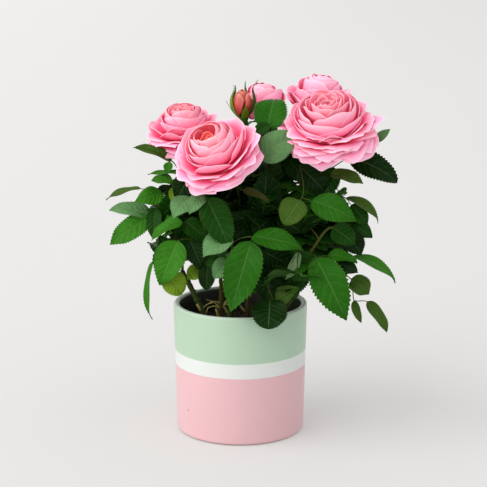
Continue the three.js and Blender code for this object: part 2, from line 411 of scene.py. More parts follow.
# ---- Shader nodes ----
class Shader:
    """A node tree with short ways to add nodes to it."""

    def __init__(self, tree: bpy.types.NodeTree) -> None:
        """Wraps a tree."""
        self.tree = tree

    def add(self, kind: str, inputs: dict | None = None, **settings: object) -> bpy.types.Node:
        """Adds a node.

        Args:
            kind: The node's type, without the ShaderNode that starts it.
            inputs: Values or sockets for its inputs, by name or number.
            **settings: Attributes to set on it.

        Returns:
            The node.
        """
        node = self.tree.nodes.new("ShaderNode" + kind)
        for name, value in settings.items():
            setattr(node, name, value)
        for name, value in (inputs or {}).items():
            self.put(node.inputs[name], value)
        return node

    def put(self, socket: Socket, value: object) -> None:
        """Links a socket to an output, or sets its value."""
        if isinstance(value, Socket):
            self.tree.links.new(value, socket)
        else:
            socket.default_value = value

    def maths(self, operation: str, *values: object, clamp: bool = False) -> Socket:
        """Gives the result of a Math node on up to three values."""
        node = self.add("Math", dict(enumerate(values)), operation=operation, use_clamp=clamp)
        return node.outputs[0]

    def times(self, *values: object) -> Socket:
        """Multiplies two values."""
        return self.maths("MULTIPLY", *values)

    def mix(self, share: object, a: object, b: object) -> Socket:
        """Mixes two colours."""
        node = self.add("Mix", {0: share, 6: a, 7: b}, data_type="RGBA")
        return node.outputs[2]

    def span(self, value: object, low: float, high: float, to_low: float = 0, to_high: float = 1) -> Socket:
        """Carries a range of a value smoothly over to another range."""
        inputs = {"Value": value, "From Min": low, "From Max": high, "To Min": to_low, "To Max": to_high}
        return self.add("MapRange", inputs, interpolation_type="SMOOTHSTEP").outputs[0]

    def ramp(self, value: object, stops: Sequence[Stop]) -> Socket:
        """Gives the colour at a value on a ramp of (place, colour) stops."""
        node = self.add("ValToRGB", {0: value})
        elements = node.color_ramp.elements
        while len(elements) < len(stops):
            elements.new(0.5)
        for element, (place, _) in zip(elements, stops, strict=True):
            element.position = place
        for element, (_, colour) in zip(elements, stops, strict=True):
            element.color = linear(colour)
        return node.outputs[0]

    def noise(self, place: object, scale: float, detail: float = 3.0, roughness: float = 0.55) -> Socket:
        """Gives a Noise Texture's value, from about 0.25 to 0.75."""
        inputs = {"Vector": place, "Scale": scale, "Detail": detail, "Roughness": roughness}
        return self.add("TexNoise", inputs).outputs[0]

    def group(self, tree: bpy.types.NodeTree, inputs: dict) -> bpy.types.Node:
        """Places a shared effect."""
        node = self.tree.nodes.new("ShaderNodeGroup")
        node.node_tree = tree
        for name, value in inputs.items():
            self.put(node.inputs[name], value)
        return node

    def bump(self, height: object, distance: float, strength: float = 1.0) -> Socket:
        """Gives the normal of a bumped surface."""
        node = self.add("Bump", {"Height": height, "Strength": strength, "Distance": distance})
        return node.outputs[0]


def new_group(name: str, inputs: dict[str, str], outputs: dict[str, str]) -> tuple[Shader, dict]:
    """Starts a shared effect with sockets of those kinds; gives a Shader and the input sockets."""
    tree = bpy.data.node_groups.new(name, "ShaderNodeTree")
    for label, kind in inputs.items():
        tree.interface.new_socket(name=label, in_out="INPUT", socket_type="NodeSocket" + kind)
    for label, kind in outputs.items():
        tree.interface.new_socket(name=label, in_out="OUTPUT", socket_type="NodeSocket" + kind)
    start = tree.nodes.new("NodeGroupInput")
    return Shader(tree), {label: start.outputs[label] for label in inputs}


def end_group(shader: Shader, values: dict[str, Socket]) -> bpy.types.NodeTree:
    """Links a shared effect's results to its outputs and gives its tree."""
    stop = shader.tree.nodes.new("NodeGroupOutput")
    for label, value in values.items():
        shader.put(stop.inputs[label], value)
    return shader.tree


@lru_cache(maxsize=None)
def mottle_group() -> bpy.types.NodeTree:
    """The shared effect that makes a colour uneven: soft patches and fine grain."""
    s, start = new_group(
        "mottle",
        {"Vector": "Vector", "Scale": "Float", "Amount": "Float", "Base": "Color", "Other": "Color"},
        {"Color": "Color", "Value": "Float"},
    )
    coarse, fine = (
        s.add("TexNoise", {"Vector": start["Vector"], "Scale": scale, "Detail": detail}).outputs[0]
        for scale, detail in ((start["Scale"], 3.0), (s.times(start["Scale"], 6.0), 2.0))
    )
    both = s.maths("ADD", s.times(coarse, 0.7), s.times(fine, 0.3))
    value = s.span(both, 0.35, 0.65)
    share = s.times(value, start["Amount"])
    return end_group(s, {"Color": s.mix(share, start["Base"], start["Other"]), "Value": value})


@lru_cache(maxsize=None)
def vein_group() -> bpy.types.NodeTree:
    """The shared effect that draws a leaf's midrib and side veins from its own map."""
    s, start = new_group(
        "leaf veins",
        {"Map": "Vector", "Pairs": "Float", "Sweep": "Float"},
        {"Midrib": "Float", "Side": "Float", "Pillow": "Float", "Edge": "Float"},
    )
    parts = s.add("SeparateXYZ", {0: start["Map"]})
    across = s.maths("ABSOLUTE", s.maths("MULTIPLY_ADD", parts.outputs[0], 2.0, -1.0))
    along = parts.outputs[1]
    midrib = s.span(across, 0.015, 0.05, 1.0, 0.0)
    swept = s.times(s.maths("POWER", across, 0.8), start["Sweep"])
    swept = s.maths("ADD", swept, s.noise(start["Map"], 4.0, 2.0))
    wave = s.maths("SUBTRACT", s.times(along, start["Pairs"]), swept)
    nearness = s.maths("ABSOLUTE", s.maths("MULTIPLY_ADD", s.maths("FRACT", wave), 2.0, -1.0))
    side = s.times(s.span(nearness, 0.80, 0.97), s.span(across, 0.85, 1.0, 1.0, 0.3))
    pillow = s.times(s.span(nearness, 0.0, 1.0, 1.0, 0.0), s.span(across, 0.0, 0.2))
    edge = s.span(across, 0.93, 1.0)
    return end_group(s, {"Midrib": midrib, "Side": side, "Pillow": pillow, "Edge": edge})


@lru_cache(maxsize=None)
def streak_group() -> bpy.types.NodeTree:
    """The shared effect of fine lines that fan along a petal from its foot."""
    s, start = new_group("petal streaks", {"Map": "Vector", "Tone": "Float"}, {"Value": "Float"})
    stretched = s.add("Mapping", {"Vector": start["Map"], "Scale": (38.0, 2.2, 1.0)}).outputs[0]
    shift = s.add("CombineXYZ", {2: s.times(start["Tone"], 9.0)}).outputs[0]
    place = s.add("VectorMath", {0: stretched, 1: shift}, operation="ADD").outputs[0]
    return end_group(s, {"Value": s.span(s.noise(place, 1.0, 3.0), 0.3, 0.7)})


def mottle(
    s: Shader, place: Socket, scale: float, amount: float, base: object, other: object
) -> bpy.types.Node:
    """Places the mottle effect."""
    inputs = {"Vector": place, "Scale": scale, "Amount": amount, "Base": base, "Other": other}
    return s.group(mottle_group(), inputs)


def new_material(name: str) -> tuple[Material, Shader, bpy.types.Node]:
    """Starts a node material and gives it, a Shader on it and its Principled BSDF."""
    material = bpy.data.materials.new(name)
    material.use_nodes = True
    shader = Shader(material.node_tree)
    return material, shader, material.node_tree.nodes["Principled BSDF"]


def object_place(shader: Shader) -> Socket:
    """Gives the Object coordinates."""
    return shader.add("TexCoord").outputs["Object"]


def own_map(shader: Shader, name: str) -> Socket:
    """Gives a place on the piece's own pattern map."""
    return shader.add("UVMap", uv_map=name).outputs[0]


def tone_of(shader: Shader) -> Socket:
    """Gives the tone that was dealt to each shape."""
    return shader.add("Attribute", attribute_name="tone").outputs["Fac"]


# ---- Finishes ----
@dataclass(frozen=True)
class GlazeFinish:
    """Satin glaze in three bands: green over white over pink, with a bare line at the foot. The lip's top is
    lightened as a painted highlight, and the inner wall below the lip is darkened as painted shade.
    """

    band_low: float = 67 * MM
    band_high: float = 81.5 * MM
    bare_foot: float = 1.1 * MM
    waver: float = 0.5 * MM
    green: Colour = (168, 195, 169)
    white: Colour = (215, 219, 215)
    pink: Colour = (220, 175, 180)
    foot: Colour = (150, 112, 100)
    # rim is a painted highlight: a paler glaze colour for the lip's top, where light catches it.
    rim: Colour = (222, 230, 218)
    rim_highlight_low: float = 125.4 * MM
    # inside is painted shade: a near-black olive for the inner wall, where the pot's hollow lies in shade.
    inside: Colour = (24, 31, 11)
    inner_shade_radius: float = 61.5 * MM
    inner_shade_top: float = 126 * MM
    pinhole: Triple = (-49.8 * MM, -37.5 * MM, 28.0 * MM)
    pinhole_radius: float = 1.5 * MM
    pinhole_colour: Colour = (136, 96, 94)
    pooling: Colour = (120, 118, 104)
    soft: float = 0.25 * MM
    roughness: float = 0.42
    coat: float = 0.25
    coat_roughness: float = 0.28

    def material(self) -> Material:
        """Makes the glaze material."""
        material, s, skin = new_material("banded satin glaze")
        place = object_place(s)
        height = s.add("SeparateXYZ", {0: place}).outputs[2]
        drift = s.maths("MULTIPLY_ADD", s.noise(place, 22.0, 2.0), 2 * self.waver, -self.waver)
        edge = s.maths("ADD", height, drift)
        lines = (self.band_high, self.band_low, self.bare_foot)
        above_band, above_pink, above_foot = (s.span(edge, z - self.soft, z + self.soft) for z in lines)
        low_bands = s.mix(above_pink, linear(self.pink), linear(self.white))
        bands = s.mix(above_band, low_bands, linear(self.green))
        footed = s.mix(above_foot, linear(self.foot), bands)
        # Painted shade in the pot's hollow: inside the inner wall's radius and below the lip, the glaze is
        # mixed towards the near-black inside colour.
        flat = s.add("VectorMath", {0: place, 1: (1, 1, 0)}, operation="MULTIPLY").outputs[0]
        across = s.add("VectorMath", {0: flat}, operation="LENGTH").outputs[1]
        off_wall = s.span(across, self.inner_shade_radius - MM, self.inner_shade_radius, 1.0, 0.0)
        below_lip = s.span(edge, self.inner_shade_top - 2 * MM, self.inner_shade_top, 1.0, 0.0)
        within = s.times(s.times(off_wall, below_lip), above_foot)
        # Painted highlight: the top of the lip is mixed part way to the pale rim colour.
        rim_highlight = s.times(s.span(edge, self.rim_highlight_low, self.rim_highlight_low + MM), 0.6)
        rim_highlighted = s.mix(rim_highlight, footed, linear(self.rim))
        coloured = s.mix(within, rim_highlighted, linear(self.inside))
        pooled = mottle(s, place, 14.0, 0.05, coloured, linear(self.pooling))
        from_pit = s.add("VectorMath", {0: place, 1: self.pinhole}, operation="DISTANCE").outputs[1]
        pit = s.span(from_pit, 0.4 * MM, self.pinhole_radius, 1.0, 0.0)
        tinted = s.mix(s.times(pit, 0.6), pooled.outputs["Color"], linear(self.pinhole_colour))
        s.put(skin.inputs["Base Color"], tinted)
        rough = s.maths("MULTIPLY_ADD", pooled.outputs["Value"], 0.08, self.roughness - 0.04)
        bare = s.maths("MULTIPLY_ADD", above_foot, -0.4, 0.4)
        s.put(skin.inputs["Roughness"], s.maths("ADD", rough, bare))
        step = s.maths("ADD", s.times(above_band, 0.12), s.times(above_pink, 0.12))
        ripple = s.times(s.noise(place, 60.0, 2.0), 0.10)
        relief = s.maths("SUBTRACT", s.maths("ADD", step, ripple), pit)
        s.put(skin.inputs["Normal"], s.bump(relief, 1.0 * MM, 0.5))
        skin.inputs["Coat Weight"].default_value = self.coat
        skin.inputs["Coat Roughness"].default_value = self.coat_roughness
        return material


@dataclass(frozen=True)
class CompostFinish:
    """Damp dark peat compost."""

    dark: Colour = (24, 17, 11)
    light: Colour = (62, 46, 32)

    def material(self) -> Material:
        """Makes the compost material."""
        material, s, skin = new_material("damp compost")
        place = object_place(s)
        grain = mottle(s, place, 160.0, 0.85, linear(self.dark), linear(self.light))
        s.put(skin.inputs["Base Color"], grain.outputs["Color"])
        s.put(skin.inputs["Roughness"], s.maths("MULTIPLY_ADD", grain.outputs["Value"], 0.25, 0.7))
        s.put(skin.inputs["Normal"], s.bump(grain.outputs["Value"], 0.8 * MM, 0.9))
        return material


@dataclass(frozen=True)
class StemFinish:
    """Rose bark, from fresh green through red-green to old brown by the tone of each length."""

    ramp: Stops = (
        (0.0, (42, 66, 16)),
        (0.25, (66, 92, 26)),
        (0.5, (84, 62, 30)),
        (0.75, (70, 66, 22)),
        (1.0, (182, 172, 104)),
    )
    cracks: Colour = (64, 44, 24)

    def material(self) -> Material:
        """Makes the bark material."""
        material, s, skin = new_material("rose bark")
        place = object_place(s)
        long_grain = s.add("Mapping", {"Vector": place, "Scale": (1.0, 1.0, 0.25)}).outputs[0]
        bark = mottle(s, long_grain, 420.0, 0.45, s.ramp(tone_of(s), self.ramp), linear(self.cracks))
        s.put(skin.inputs["Base Color"], bark.outputs["Color"])
        s.put(skin.inputs["Roughness"], s.maths("MULTIPLY_ADD", bark.outputs["Value"], 0.2, 0.45))
        s.put(skin.inputs["Normal"], s.bump(bark.outputs["Value"], 0.25 * MM, 0.6))
        skin.inputs["Specular IOR Level"].default_value = 0.15
        return material


class Tone(Enum):
    """Leaf tones, with the colours of the upper and the lower side. The darkest tone is painted shade for
    leaves deep in the crown and under the blooms, DEEP is partly painted shade as well, and the sheen tone is
    a painted reflection on glossy leaves.
    """

    # Painted shade: near-black greens for leaves that lie in shade.
    SHADE = ((11, 41, 4), (32, 59, 20))
    # Partly painted shade: a dark leaf green that is also given to leaves inside the crown.
    DEEP = ((21, 65, 6), (49, 84, 30))
    MID = ((36, 94, 12), (72, 112, 46))
    BRIGHT = ((52, 116, 20), (92, 136, 60))
    # Painted reflection: pale grey-green for glossy leaves whose gloss catches the light.
    SHEEN = ((98, 142, 88), (120, 150, 104))
    OLIVE = ((64, 94, 28), (104, 124, 60))
    LIME = ((112, 146, 34), (144, 164, 76))
    BRONZE = ((58, 62, 22), (84, 88, 42))

    @property
    def step(self) -> int:
        """The tone's number in the palette."""
        return list(Tone).index(self)

    @property
    def level(self) -> float:
        """The tone's place on the colour ramp, from 0 to 1."""
        return self.step / (len(Tone) - 1)


class LeafSide(Enum):
    """The two sides of a leaf."""

    UPPER = 0
    LOWER = 1


@dataclass(frozen=True)
class LeafFinish:
    """The skin of one side of the leaves: glossy green above, paler and dull below."""

    side: LeafSide
    vein_pairs: float = 7.0
    vein_sweep: float = 1.6
    shadow: Colour = (8, 26, 4)
    paleness: Colour = (176, 206, 136)
    dry_edge: Colour = (120, 96, 50)

    def material(self) -> Material:
        """Makes the leaf material of this side."""
        upper = self.side is LeafSide.UPPER
        material, s, skin = new_material("leaf upper side" if upper else "leaf lower side")
        tone = tone_of(s)
        pattern = own_map(s, "leaf")
        green = s.ramp(tone, [(t.level, t.value[self.side.value]) for t in Tone])
        veins = s.group(vein_group(), {"Map": pattern, "Pairs": self.vein_pairs, "Sweep": self.vein_sweep})
        patch_place = s.add("Mapping", {"Vector": pattern, "Scale": (3.0, 5.0, 1.0)}).outputs[0]
        mottled = mottle(s, patch_place, 1.2, 0.5, green, s.mix(0.35, green, linear(self.shadow)))
        pale = s.mix(0.30 if upper else 0.4, green, linear(self.paleness))
        ribbed = s.mix(s.times(veins.outputs["Midrib"], 0.30), mottled.outputs["Color"], pale)
        netted = s.mix(s.times(veins.outputs["Side"], 0.10 if upper else 0.25), ribbed, pale)
        edged = s.mix(s.times(veins.outputs["Edge"], 0.08), netted, linear(self.dry_edge))
        s.put(skin.inputs["Base Color"], edged)
        rough = 0.3 if upper else 0.62
        s.put(skin.inputs["Roughness"], s.maths("MULTIPLY_ADD", mottled.outputs["Value"], 0.14, rough))
        relief = veins.outputs["Pillow"]
        for vein, lift in (("Side", -0.5 if upper else 0.5), ("Midrib", -0.6 if upper else 0.9)):
            relief = s.maths("MULTIPLY_ADD", veins.outputs[vein], lift, relief)
        s.put(skin.inputs["Normal"], s.bump(relief, 0.6 * MM, 0.55))
        skin.inputs["Specular IOR Level"].default_value = 0.07
        return material


@dataclass(frozen=True)
class PetalFinish:
    """Skin of one face of the petals: coral in the heart, rose at the foot, pale pink at the lip. The ramps'
    deep foot is partly painted shade deep in the bloom and their pale lip partly a painted highlight; a faint
    painted glow stands in for light shining through the petals.
    """

    name: str
    heart: Stops
    outer: Stops
    streak: Colour = (232, 60, 116)
    roughness: float = 0.6
    painted_glow: float = 0.08
    heart_painted_glow: Colour = (255, 84, 60)
    outer_painted_glow: Colour = (176, 72, 100)

    def material(self) -> Material:
        """Makes the petal material."""
        material, s, skin = new_material(self.name)
        tone = tone_of(s)
        pattern = own_map(s, "petal")
        along = s.add("SeparateXYZ", {0: pattern}).outputs[1]
        colour = s.mix(tone, s.ramp(along, self.heart), s.ramp(along, self.outer))
        streaks = s.group(streak_group(), {"Map": pattern, "Tone": tone}).outputs[0]
        deeper = s.mix(0.16, colour, linear(self.streak))
        s.put(skin.inputs["Base Color"], s.mix(s.times(streaks, 0.45), colour, deeper))
        s.put(skin.inputs["Roughness"], s.maths("MULTIPLY_ADD", streaks, 0.1, self.roughness))
        s.put(skin.inputs["Normal"], s.bump(streaks, 0.25 * MM, 0.35))
        skin.inputs["Specular IOR Level"].default_value = 0.2
        # Painted glow: a faint coral and pink emission stands in for light shining through the petals.
        s.put(skin.inputs["Emission Color"], s.mix(tone, linear(self.heart_painted_glow), linear(self.outer_painted_glow)))
        skin.inputs["Emission Strength"].default_value = self.painted_glow
        return material


@dataclass(frozen=True)
class FloorFinish:
    """Plain pale paper for the floor and the wall behind. It darkens towards the right as painted light
    falloff, and a faint painted glow of its own lifts the cast shadows.
    """

    # left and right are painted light falloff: the paper darkens from the lit left towards the right.
    left: Colour = (186, 185, 183)
    right: Colour = (172, 171, 170)
    other: Colour = (176, 175, 174)
    painted_glow: float = 0.26
    painted_glow_colour: Triple = (1.0, 0.985, 0.97)
    turn: float = 1.4

    def material(self) -> Material:
        """Makes the paper material."""
        material, s, skin = new_material("pale paper")
        place = object_place(s)
        paper = mottle(s, place, 3.0, 0.05, linear(self.left), linear(self.other))
        # Painted light falloff: darker towards the right.
        side = s.span(s.add("SeparateXYZ", {0: place}).outputs[0], -self.turn, self.turn)
        s.put(skin.inputs["Base Color"], s.mix(side, paper.outputs["Color"], linear(self.right)))
        skin.inputs["Roughness"].default_value = 0.9
        skin.inputs["Specular IOR Level"].default_value = 0.1
        # Painted glow: the paper's own faint light lifts the cast shadows.
        skin.inputs["Emission Color"].default_value = (*self.painted_glow_colour, 1)
        skin.inputs["Emission Strength"].default_value = self.painted_glow
        return material


# ---- Pot and compost ----
@dataclass
class Pot:
    """The round pot with a slight taper, a rounded lip and a shallow foot ring."""

    node: str = "pot"
    foot_radius: float = 62 * MM
    wall: float = 6 * MM
    floor: float = 8 * MM
    lip_radius: float = 2.4 * MM
    foot_corner: float = 3.6 * MM
    inner_corner: float = 8 * MM
    foot_ring: float = 5 * MM
    foot_recess: float = 1 * MM
    floor_share: float = 0.95
    steps: int = 5
    foot_steps: int = 6
    sides: int = 160
    finish: GlazeFinish = field(default_factory=GlazeFinish)

    def build(self) -> None:
        """Models the pot and dresses it."""
        low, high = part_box(self.node)
        height, radius = high.z - low.z, (high.x - low.x) / 2
        bpy.ops.object.select_all(action="DESELECT")
        bpy.ops.mesh.primitive_cylinder_add(
            vertices=self.sides, radius=self.foot_radius, depth=height, location=(0, 0, low.z + height / 2)
        )
        pot = bpy.context.active_object
        pot.name = pot.data.name = "glazed_pot"
        apply_place(pot)
        flare, shrink = radius / self.foot_radius, self.floor_share
        pick_parts(pot, "FACE", lambda f: f.normal.z > FACES_UP)
        bpy.ops.transform.resize(value=(flare, flare, 1), center_override=(0, 0, 0))
        pick_parts(pot, "FACE", lambda f: f.normal.z > FACES_UP)
        bpy.ops.mesh.inset(thickness=self.wall)
        bpy.ops.mesh.extrude_region_move(TRANSFORM_OT_translate={"value": (0, 0, self.floor - height)})
        bpy.ops.transform.resize(value=(shrink, shrink, 1), center_override=(0, 0, 0))
        pick_parts(pot, "FACE", lambda f: f.normal.z < -FACES_UP)
        bpy.ops.mesh.inset(thickness=self.foot_ring)
        bpy.ops.mesh.extrude_region_move(TRANSFORM_OT_translate={"value": (0, 0, self.foot_recess)})
        outside, inner_foot = self.foot_radius - MM, low.z + self.floor
        for wanted, size, steps in (
            (lambda z, r: z > high.z - MM, self.lip_radius, self.steps),
            (lambda z, r: z < low.z + CLOSE and r > outside, self.foot_corner, self.foot_steps),
            (lambda z, r: abs(z - inner_foot) < CLOSE, self.inner_corner, self.steps),
        ):
            self.round_edges(pot, wanted, size, steps)
        bpy.ops.object.mode_set(mode="OBJECT")
        smooth_shade(pot)
        pot.data.materials.clear()
        pot.data.materials.append(self.finish.material())
        hand_over(pot, [self.node])

    def round_edges(self, pot: Object, wanted: Callable[..., bool], size: float, steps: int) -> None:
        """Bevels the level ring edges whose height and radius a test wants."""

        def on_ring(a: Vector, b: Vector) -> bool:
            """Says whether an edge lies level on a ring that is wanted."""
            level = abs(a.z - b.z) < SAME and abs(math.hypot(a.x, a.y) - math.hypot(b.x, b.y)) < SAME
            return level and all(wanted(p.z, math.hypot(p.x, p.y)) for p in (a, b))

        pick_parts(pot, "EDGE", on_ring)
        bpy.ops.mesh.bevel(offset=size, segments=steps, profile=0.5, affect="EDGES")


@dataclass
class Compost:
    """The compost fill with a lumpy top, and loose crumbs on it."""

    node: str = "soil"
    rings: int = 16
    sides: int = 96
    lump: float = 2.2 * MM
    coarse: Pair = (0.07, 3.1)
    fine: Pair = (0.32, 8.7)
    fine_share: float = 0.45
    fall: float = 2 * MM
    wall_gap: float = 0.3 * MM
    top_gap: float = 3 * MM
    foot_share: float = 0.86
    crumbs: int = 420
    crumb_reach: float = 0.94
    crumb_sizes: Pair = (0.7 * MM, 2.4 * MM)
    seed: int = 11
    finish: CompostFinish = field(default_factory=CompostFinish)

    def height_at(self, x: float, y: float, level: float, radius: float) -> float:
        """Gives the height of the lumpy top, which falls a little towards the wall."""
        spots = ((x / MM * scale, y / MM * scale, start) for scale, start in (self.coarse, self.fine))
        coarse, fine = (noise.noise(Vector(spot)) for spot in spots)
        lumps = self.lump * (coarse + self.fine_share * fine)
        return level + lumps - self.fall * (math.hypot(x, y) / radius) ** 4

    def build(self) -> None:
        """Models the fill and its crumbs."""
        low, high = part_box(self.node)
        radius, level = (high.x - low.x) / 2 - self.wall_gap, high.z - self.top_gap
        bpy.ops.object.select_all(action="DESELECT")
        depth = level - low.z
        bpy.ops.mesh.primitive_cylinder_add(
            vertices=self.sides, radius=radius, depth=depth, location=(0, 0, low.z + depth / 2)
        )
        fill = bpy.context.active_object
        fill.name = fill.data.name = "compost_fill"
        apply_place(fill)
        pick_parts(fill, "FACE", lambda f: f.normal.z > FACES_UP)
        for _ in range(self.rings):
            bpy.ops.mesh.inset(thickness=radius / (self.rings + 1))
        bpy.ops.object.mode_set(mode="OBJECT")
        for vertex in fill.data.vertices:
            if vertex.co.z > low.z + depth / 2:
                vertex.co.z = self.height_at(vertex.co.x, vertex.co.y, level, radius)
            else:
                vertex.co.x *= self.foot_share
                vertex.co.y *= self.foot_share
        smooth_shade(fill)
        dressing = self.finish.material()
        fill.data.materials.append(dressing)
        hand_over(fill, [self.node])
        crumbs = self.scatter(radius, level)
        crumbs.data.materials.append(dressing)
        hand_over(crumbs, [])

    def scatter(self, radius: float, level: float) -> Object:
        """Makes the loose crumbs: small squashed many-sided lumps resting on the fill."""
        rng = np.random.default_rng(self.seed)
        g = (1 + 5**0.5) / 2
        shell = [(-1, g, 0), (1, g, 0), (-1, -g, 0), (1, -g, 0), (0, -1, g), (0, 1, g)]
        shell += [(0, -1, -g), (0, 1, -g), (g, 0, -1), (g, 0, 1), (-g, 0, -1), (-g, 0, 1)]
        corners = np.array(shell, float) / math.hypot(1, g)
        faces = [(0, 11, 5), (0, 5, 1), (0, 1, 7), (0, 7, 10), (0, 10, 11), (1, 5, 9), (5, 11, 4)]
        faces += [(11, 10, 2), (10, 7, 6), (7, 1, 8), (3, 9, 4), (3, 4, 2), (3, 2, 6), (3, 6, 8)]
        faces += [(3, 8, 9), (4, 9, 5), (2, 4, 11), (6, 2, 10), (8, 6, 7), (9, 8, 1)]
        points, polygons = [], []
        for _ in range(self.crumbs):
            away = radius * self.crumb_reach * math.sqrt(rng.random())
            turn = rng.uniform(0, 2 * math.pi)
            x, y = away * math.cos(turn), away * math.sin(turn)
            size = between(*self.crumb_sizes, rng.random() ** 2)
            stretch = np.array([rng.uniform(0.7, 1.5), rng.uniform(0.7, 1.2), rng.uniform(0.5, 0.9)])
            lump = corners * stretch * size * rng.uniform(0.8, 1.15, (12, 1))
            c, s = math.cos(turn * 3), math.sin(turn * 3)
            lump = lump @ np.array([[c, s, 0], [-s, c, 0], [0, 0, 1]])
            base = len(points)
            points += (lump + [x, y, self.height_at(x, y, level, radius) + size * 0.3]).tolist()
            polygons += [tuple(base + i for i in face) for face in faces]
        mesh = bpy.data.meshes.new("compost_crumbs")
        mesh.from_pydata(points, [], polygons)
        mesh.update()
        crumbs = bpy.data.objects.new("compost_crumbs", mesh)
        bpy.context.scene.collection.objects.link(crumbs)
        return crumbs


# ---- Limbs and growth ----
@dataclass
class Strand:
    """One length of stem, grown from a point on another."""

    line: Array
    parent: int
    parent_point: int
    foot_radius: float = 0.0
    tip_radius: float = 0.0
    tone: float = 0.25
    load: Array = field(default_factory=lambda: np.zeros(0))


@dataclass
class Growth:
    """The plant's skeleton: it starts as the CAD limbs, and every new shoot starts from its nearest point.

    Attributes:
        step: Gap between a shoot's points.
        least_radius: Radius of a shoot with one leaflet.
        most_radius: Radius that no shoot passes.
        thickening: Power of the load by which a shoot thickens.
        taper: Share of the radius at its foot and its tip.
        cost: Weights of length, going on ahead, arriving straight and growing down, when a start is chosen.
        leave: Shares of the parent's way, the straight way and upwards in a shoot's first direction.
        ease_out: Pull of the first direction, as a share of the length.
        ease_in: Pull of the last direction.
        strands: The limbs and then the shoots.
    """

    step: float = 5 * MM
    least_radius: float = 0.42 * MM
    most_radius: float = 1.3 * MM
    thickening: float = 0.33
    taper: Pair = (1.08, 0.95)
    cost: tuple[float, ...] = (1.9, 0.55, 0.35, 0.8)
    leave: Triple = (0.5, 0.9, 0.15)
    ease_out: float = 0.9
    ease_in: float = 0.7
    strands: list[Strand] = field(default_factory=list)

    def start_limb(self, line: Array, foot_radius: float, tip_radius: float, tone: float) -> None:
        """Adds a limb of known thickness."""
        line = resample(line, self.step)
        self.strands.append(Strand(line, -1, -1, foot_radius, tip_radius, tone, np.zeros(len(line))))

    def nearest(self, target: Array, arrive: Array, limbs_only: int | None = None) -> tuple[int, int]:
        """Finds the strand and the point on it from which a shoot has the least length and bend."""
        best, choice = math.inf, (0, 0)
        far, ahead_gain, inline_gain, down = self.cost
        for number, strand in enumerate(self.strands[:limbs_only]):
            gap = target - strand.line
            length = np.linalg.norm(gap, axis=1) + 1e-9
            ahead = np.gradient(strand.line, axis=0)
            ahead /= np.linalg.norm(ahead, axis=1, keepdims=True) + TINY
            onward = np.einsum("ij,ij->i", gap, ahead) / length
            inline = (gap @ arrive) / length
            rate = far - ahead_gain * onward - inline_gain * inline
            cost = length * rate + np.maximum(0, -gap[:, 2]) * down
            point = int(np.argmin(cost))
            if cost[point] < best:
                best, choice = float(cost[point]), (number, point)
        return choice

    def shoot(
        self, target: Array, arrive: Array, weight: float, tone: float, limbs: int | None = None
    ) -> None:
        """Grows a curved shoot to a target, from any strand or only from so many of the first."""
        number, point = self.nearest(target, arrive, limbs)
        source = self.strands[number].line
        start = source[point]
        heading = unit(np.gradient(source, axis=0)[point])
        gap = target - start
        length = float(np.linalg.norm(gap))
        ahead, straight, lift = self.leave
        out = unit(ahead * heading + straight * unit(gap) + lift * UP) * length * self.ease_out
        into = unit(arrive) * length * self.ease_in
        count = max(4, round(length / self.step) + 1)
        line = hermite(start, target, out, into, np.linspace(0, 1, count))
        self.strands.append(Strand(line, number, point, tone=tone, load=np.full(count, float(weight))))
        self.carry(number, point, weight)

    def carry(self, number: int, point: int, weight: float) -> None:
        """Adds a weight to every strand from a point down to the limbs."""
        while number >= 0:
            strand = self.strands[number]
            strand.load[: point + 1] += weight
            number, point = strand.parent, strand.parent_point

    def radii(self, strand: Strand) -> Array:
        """Gives the radius at each point, from a limb's own sizes or from what the shoot carries."""
        if strand.parent < 0:
            return np.linspace(strand.foot_radius, strand.tip_radius, len(strand.line))
        grown = self.least_radius * np.maximum(strand.load, 1) ** self.thickening
        taper = np.linspace(*self.taper, len(strand.line))
        return np.clip(grown, self.least_radius, self.most_radius) * taper


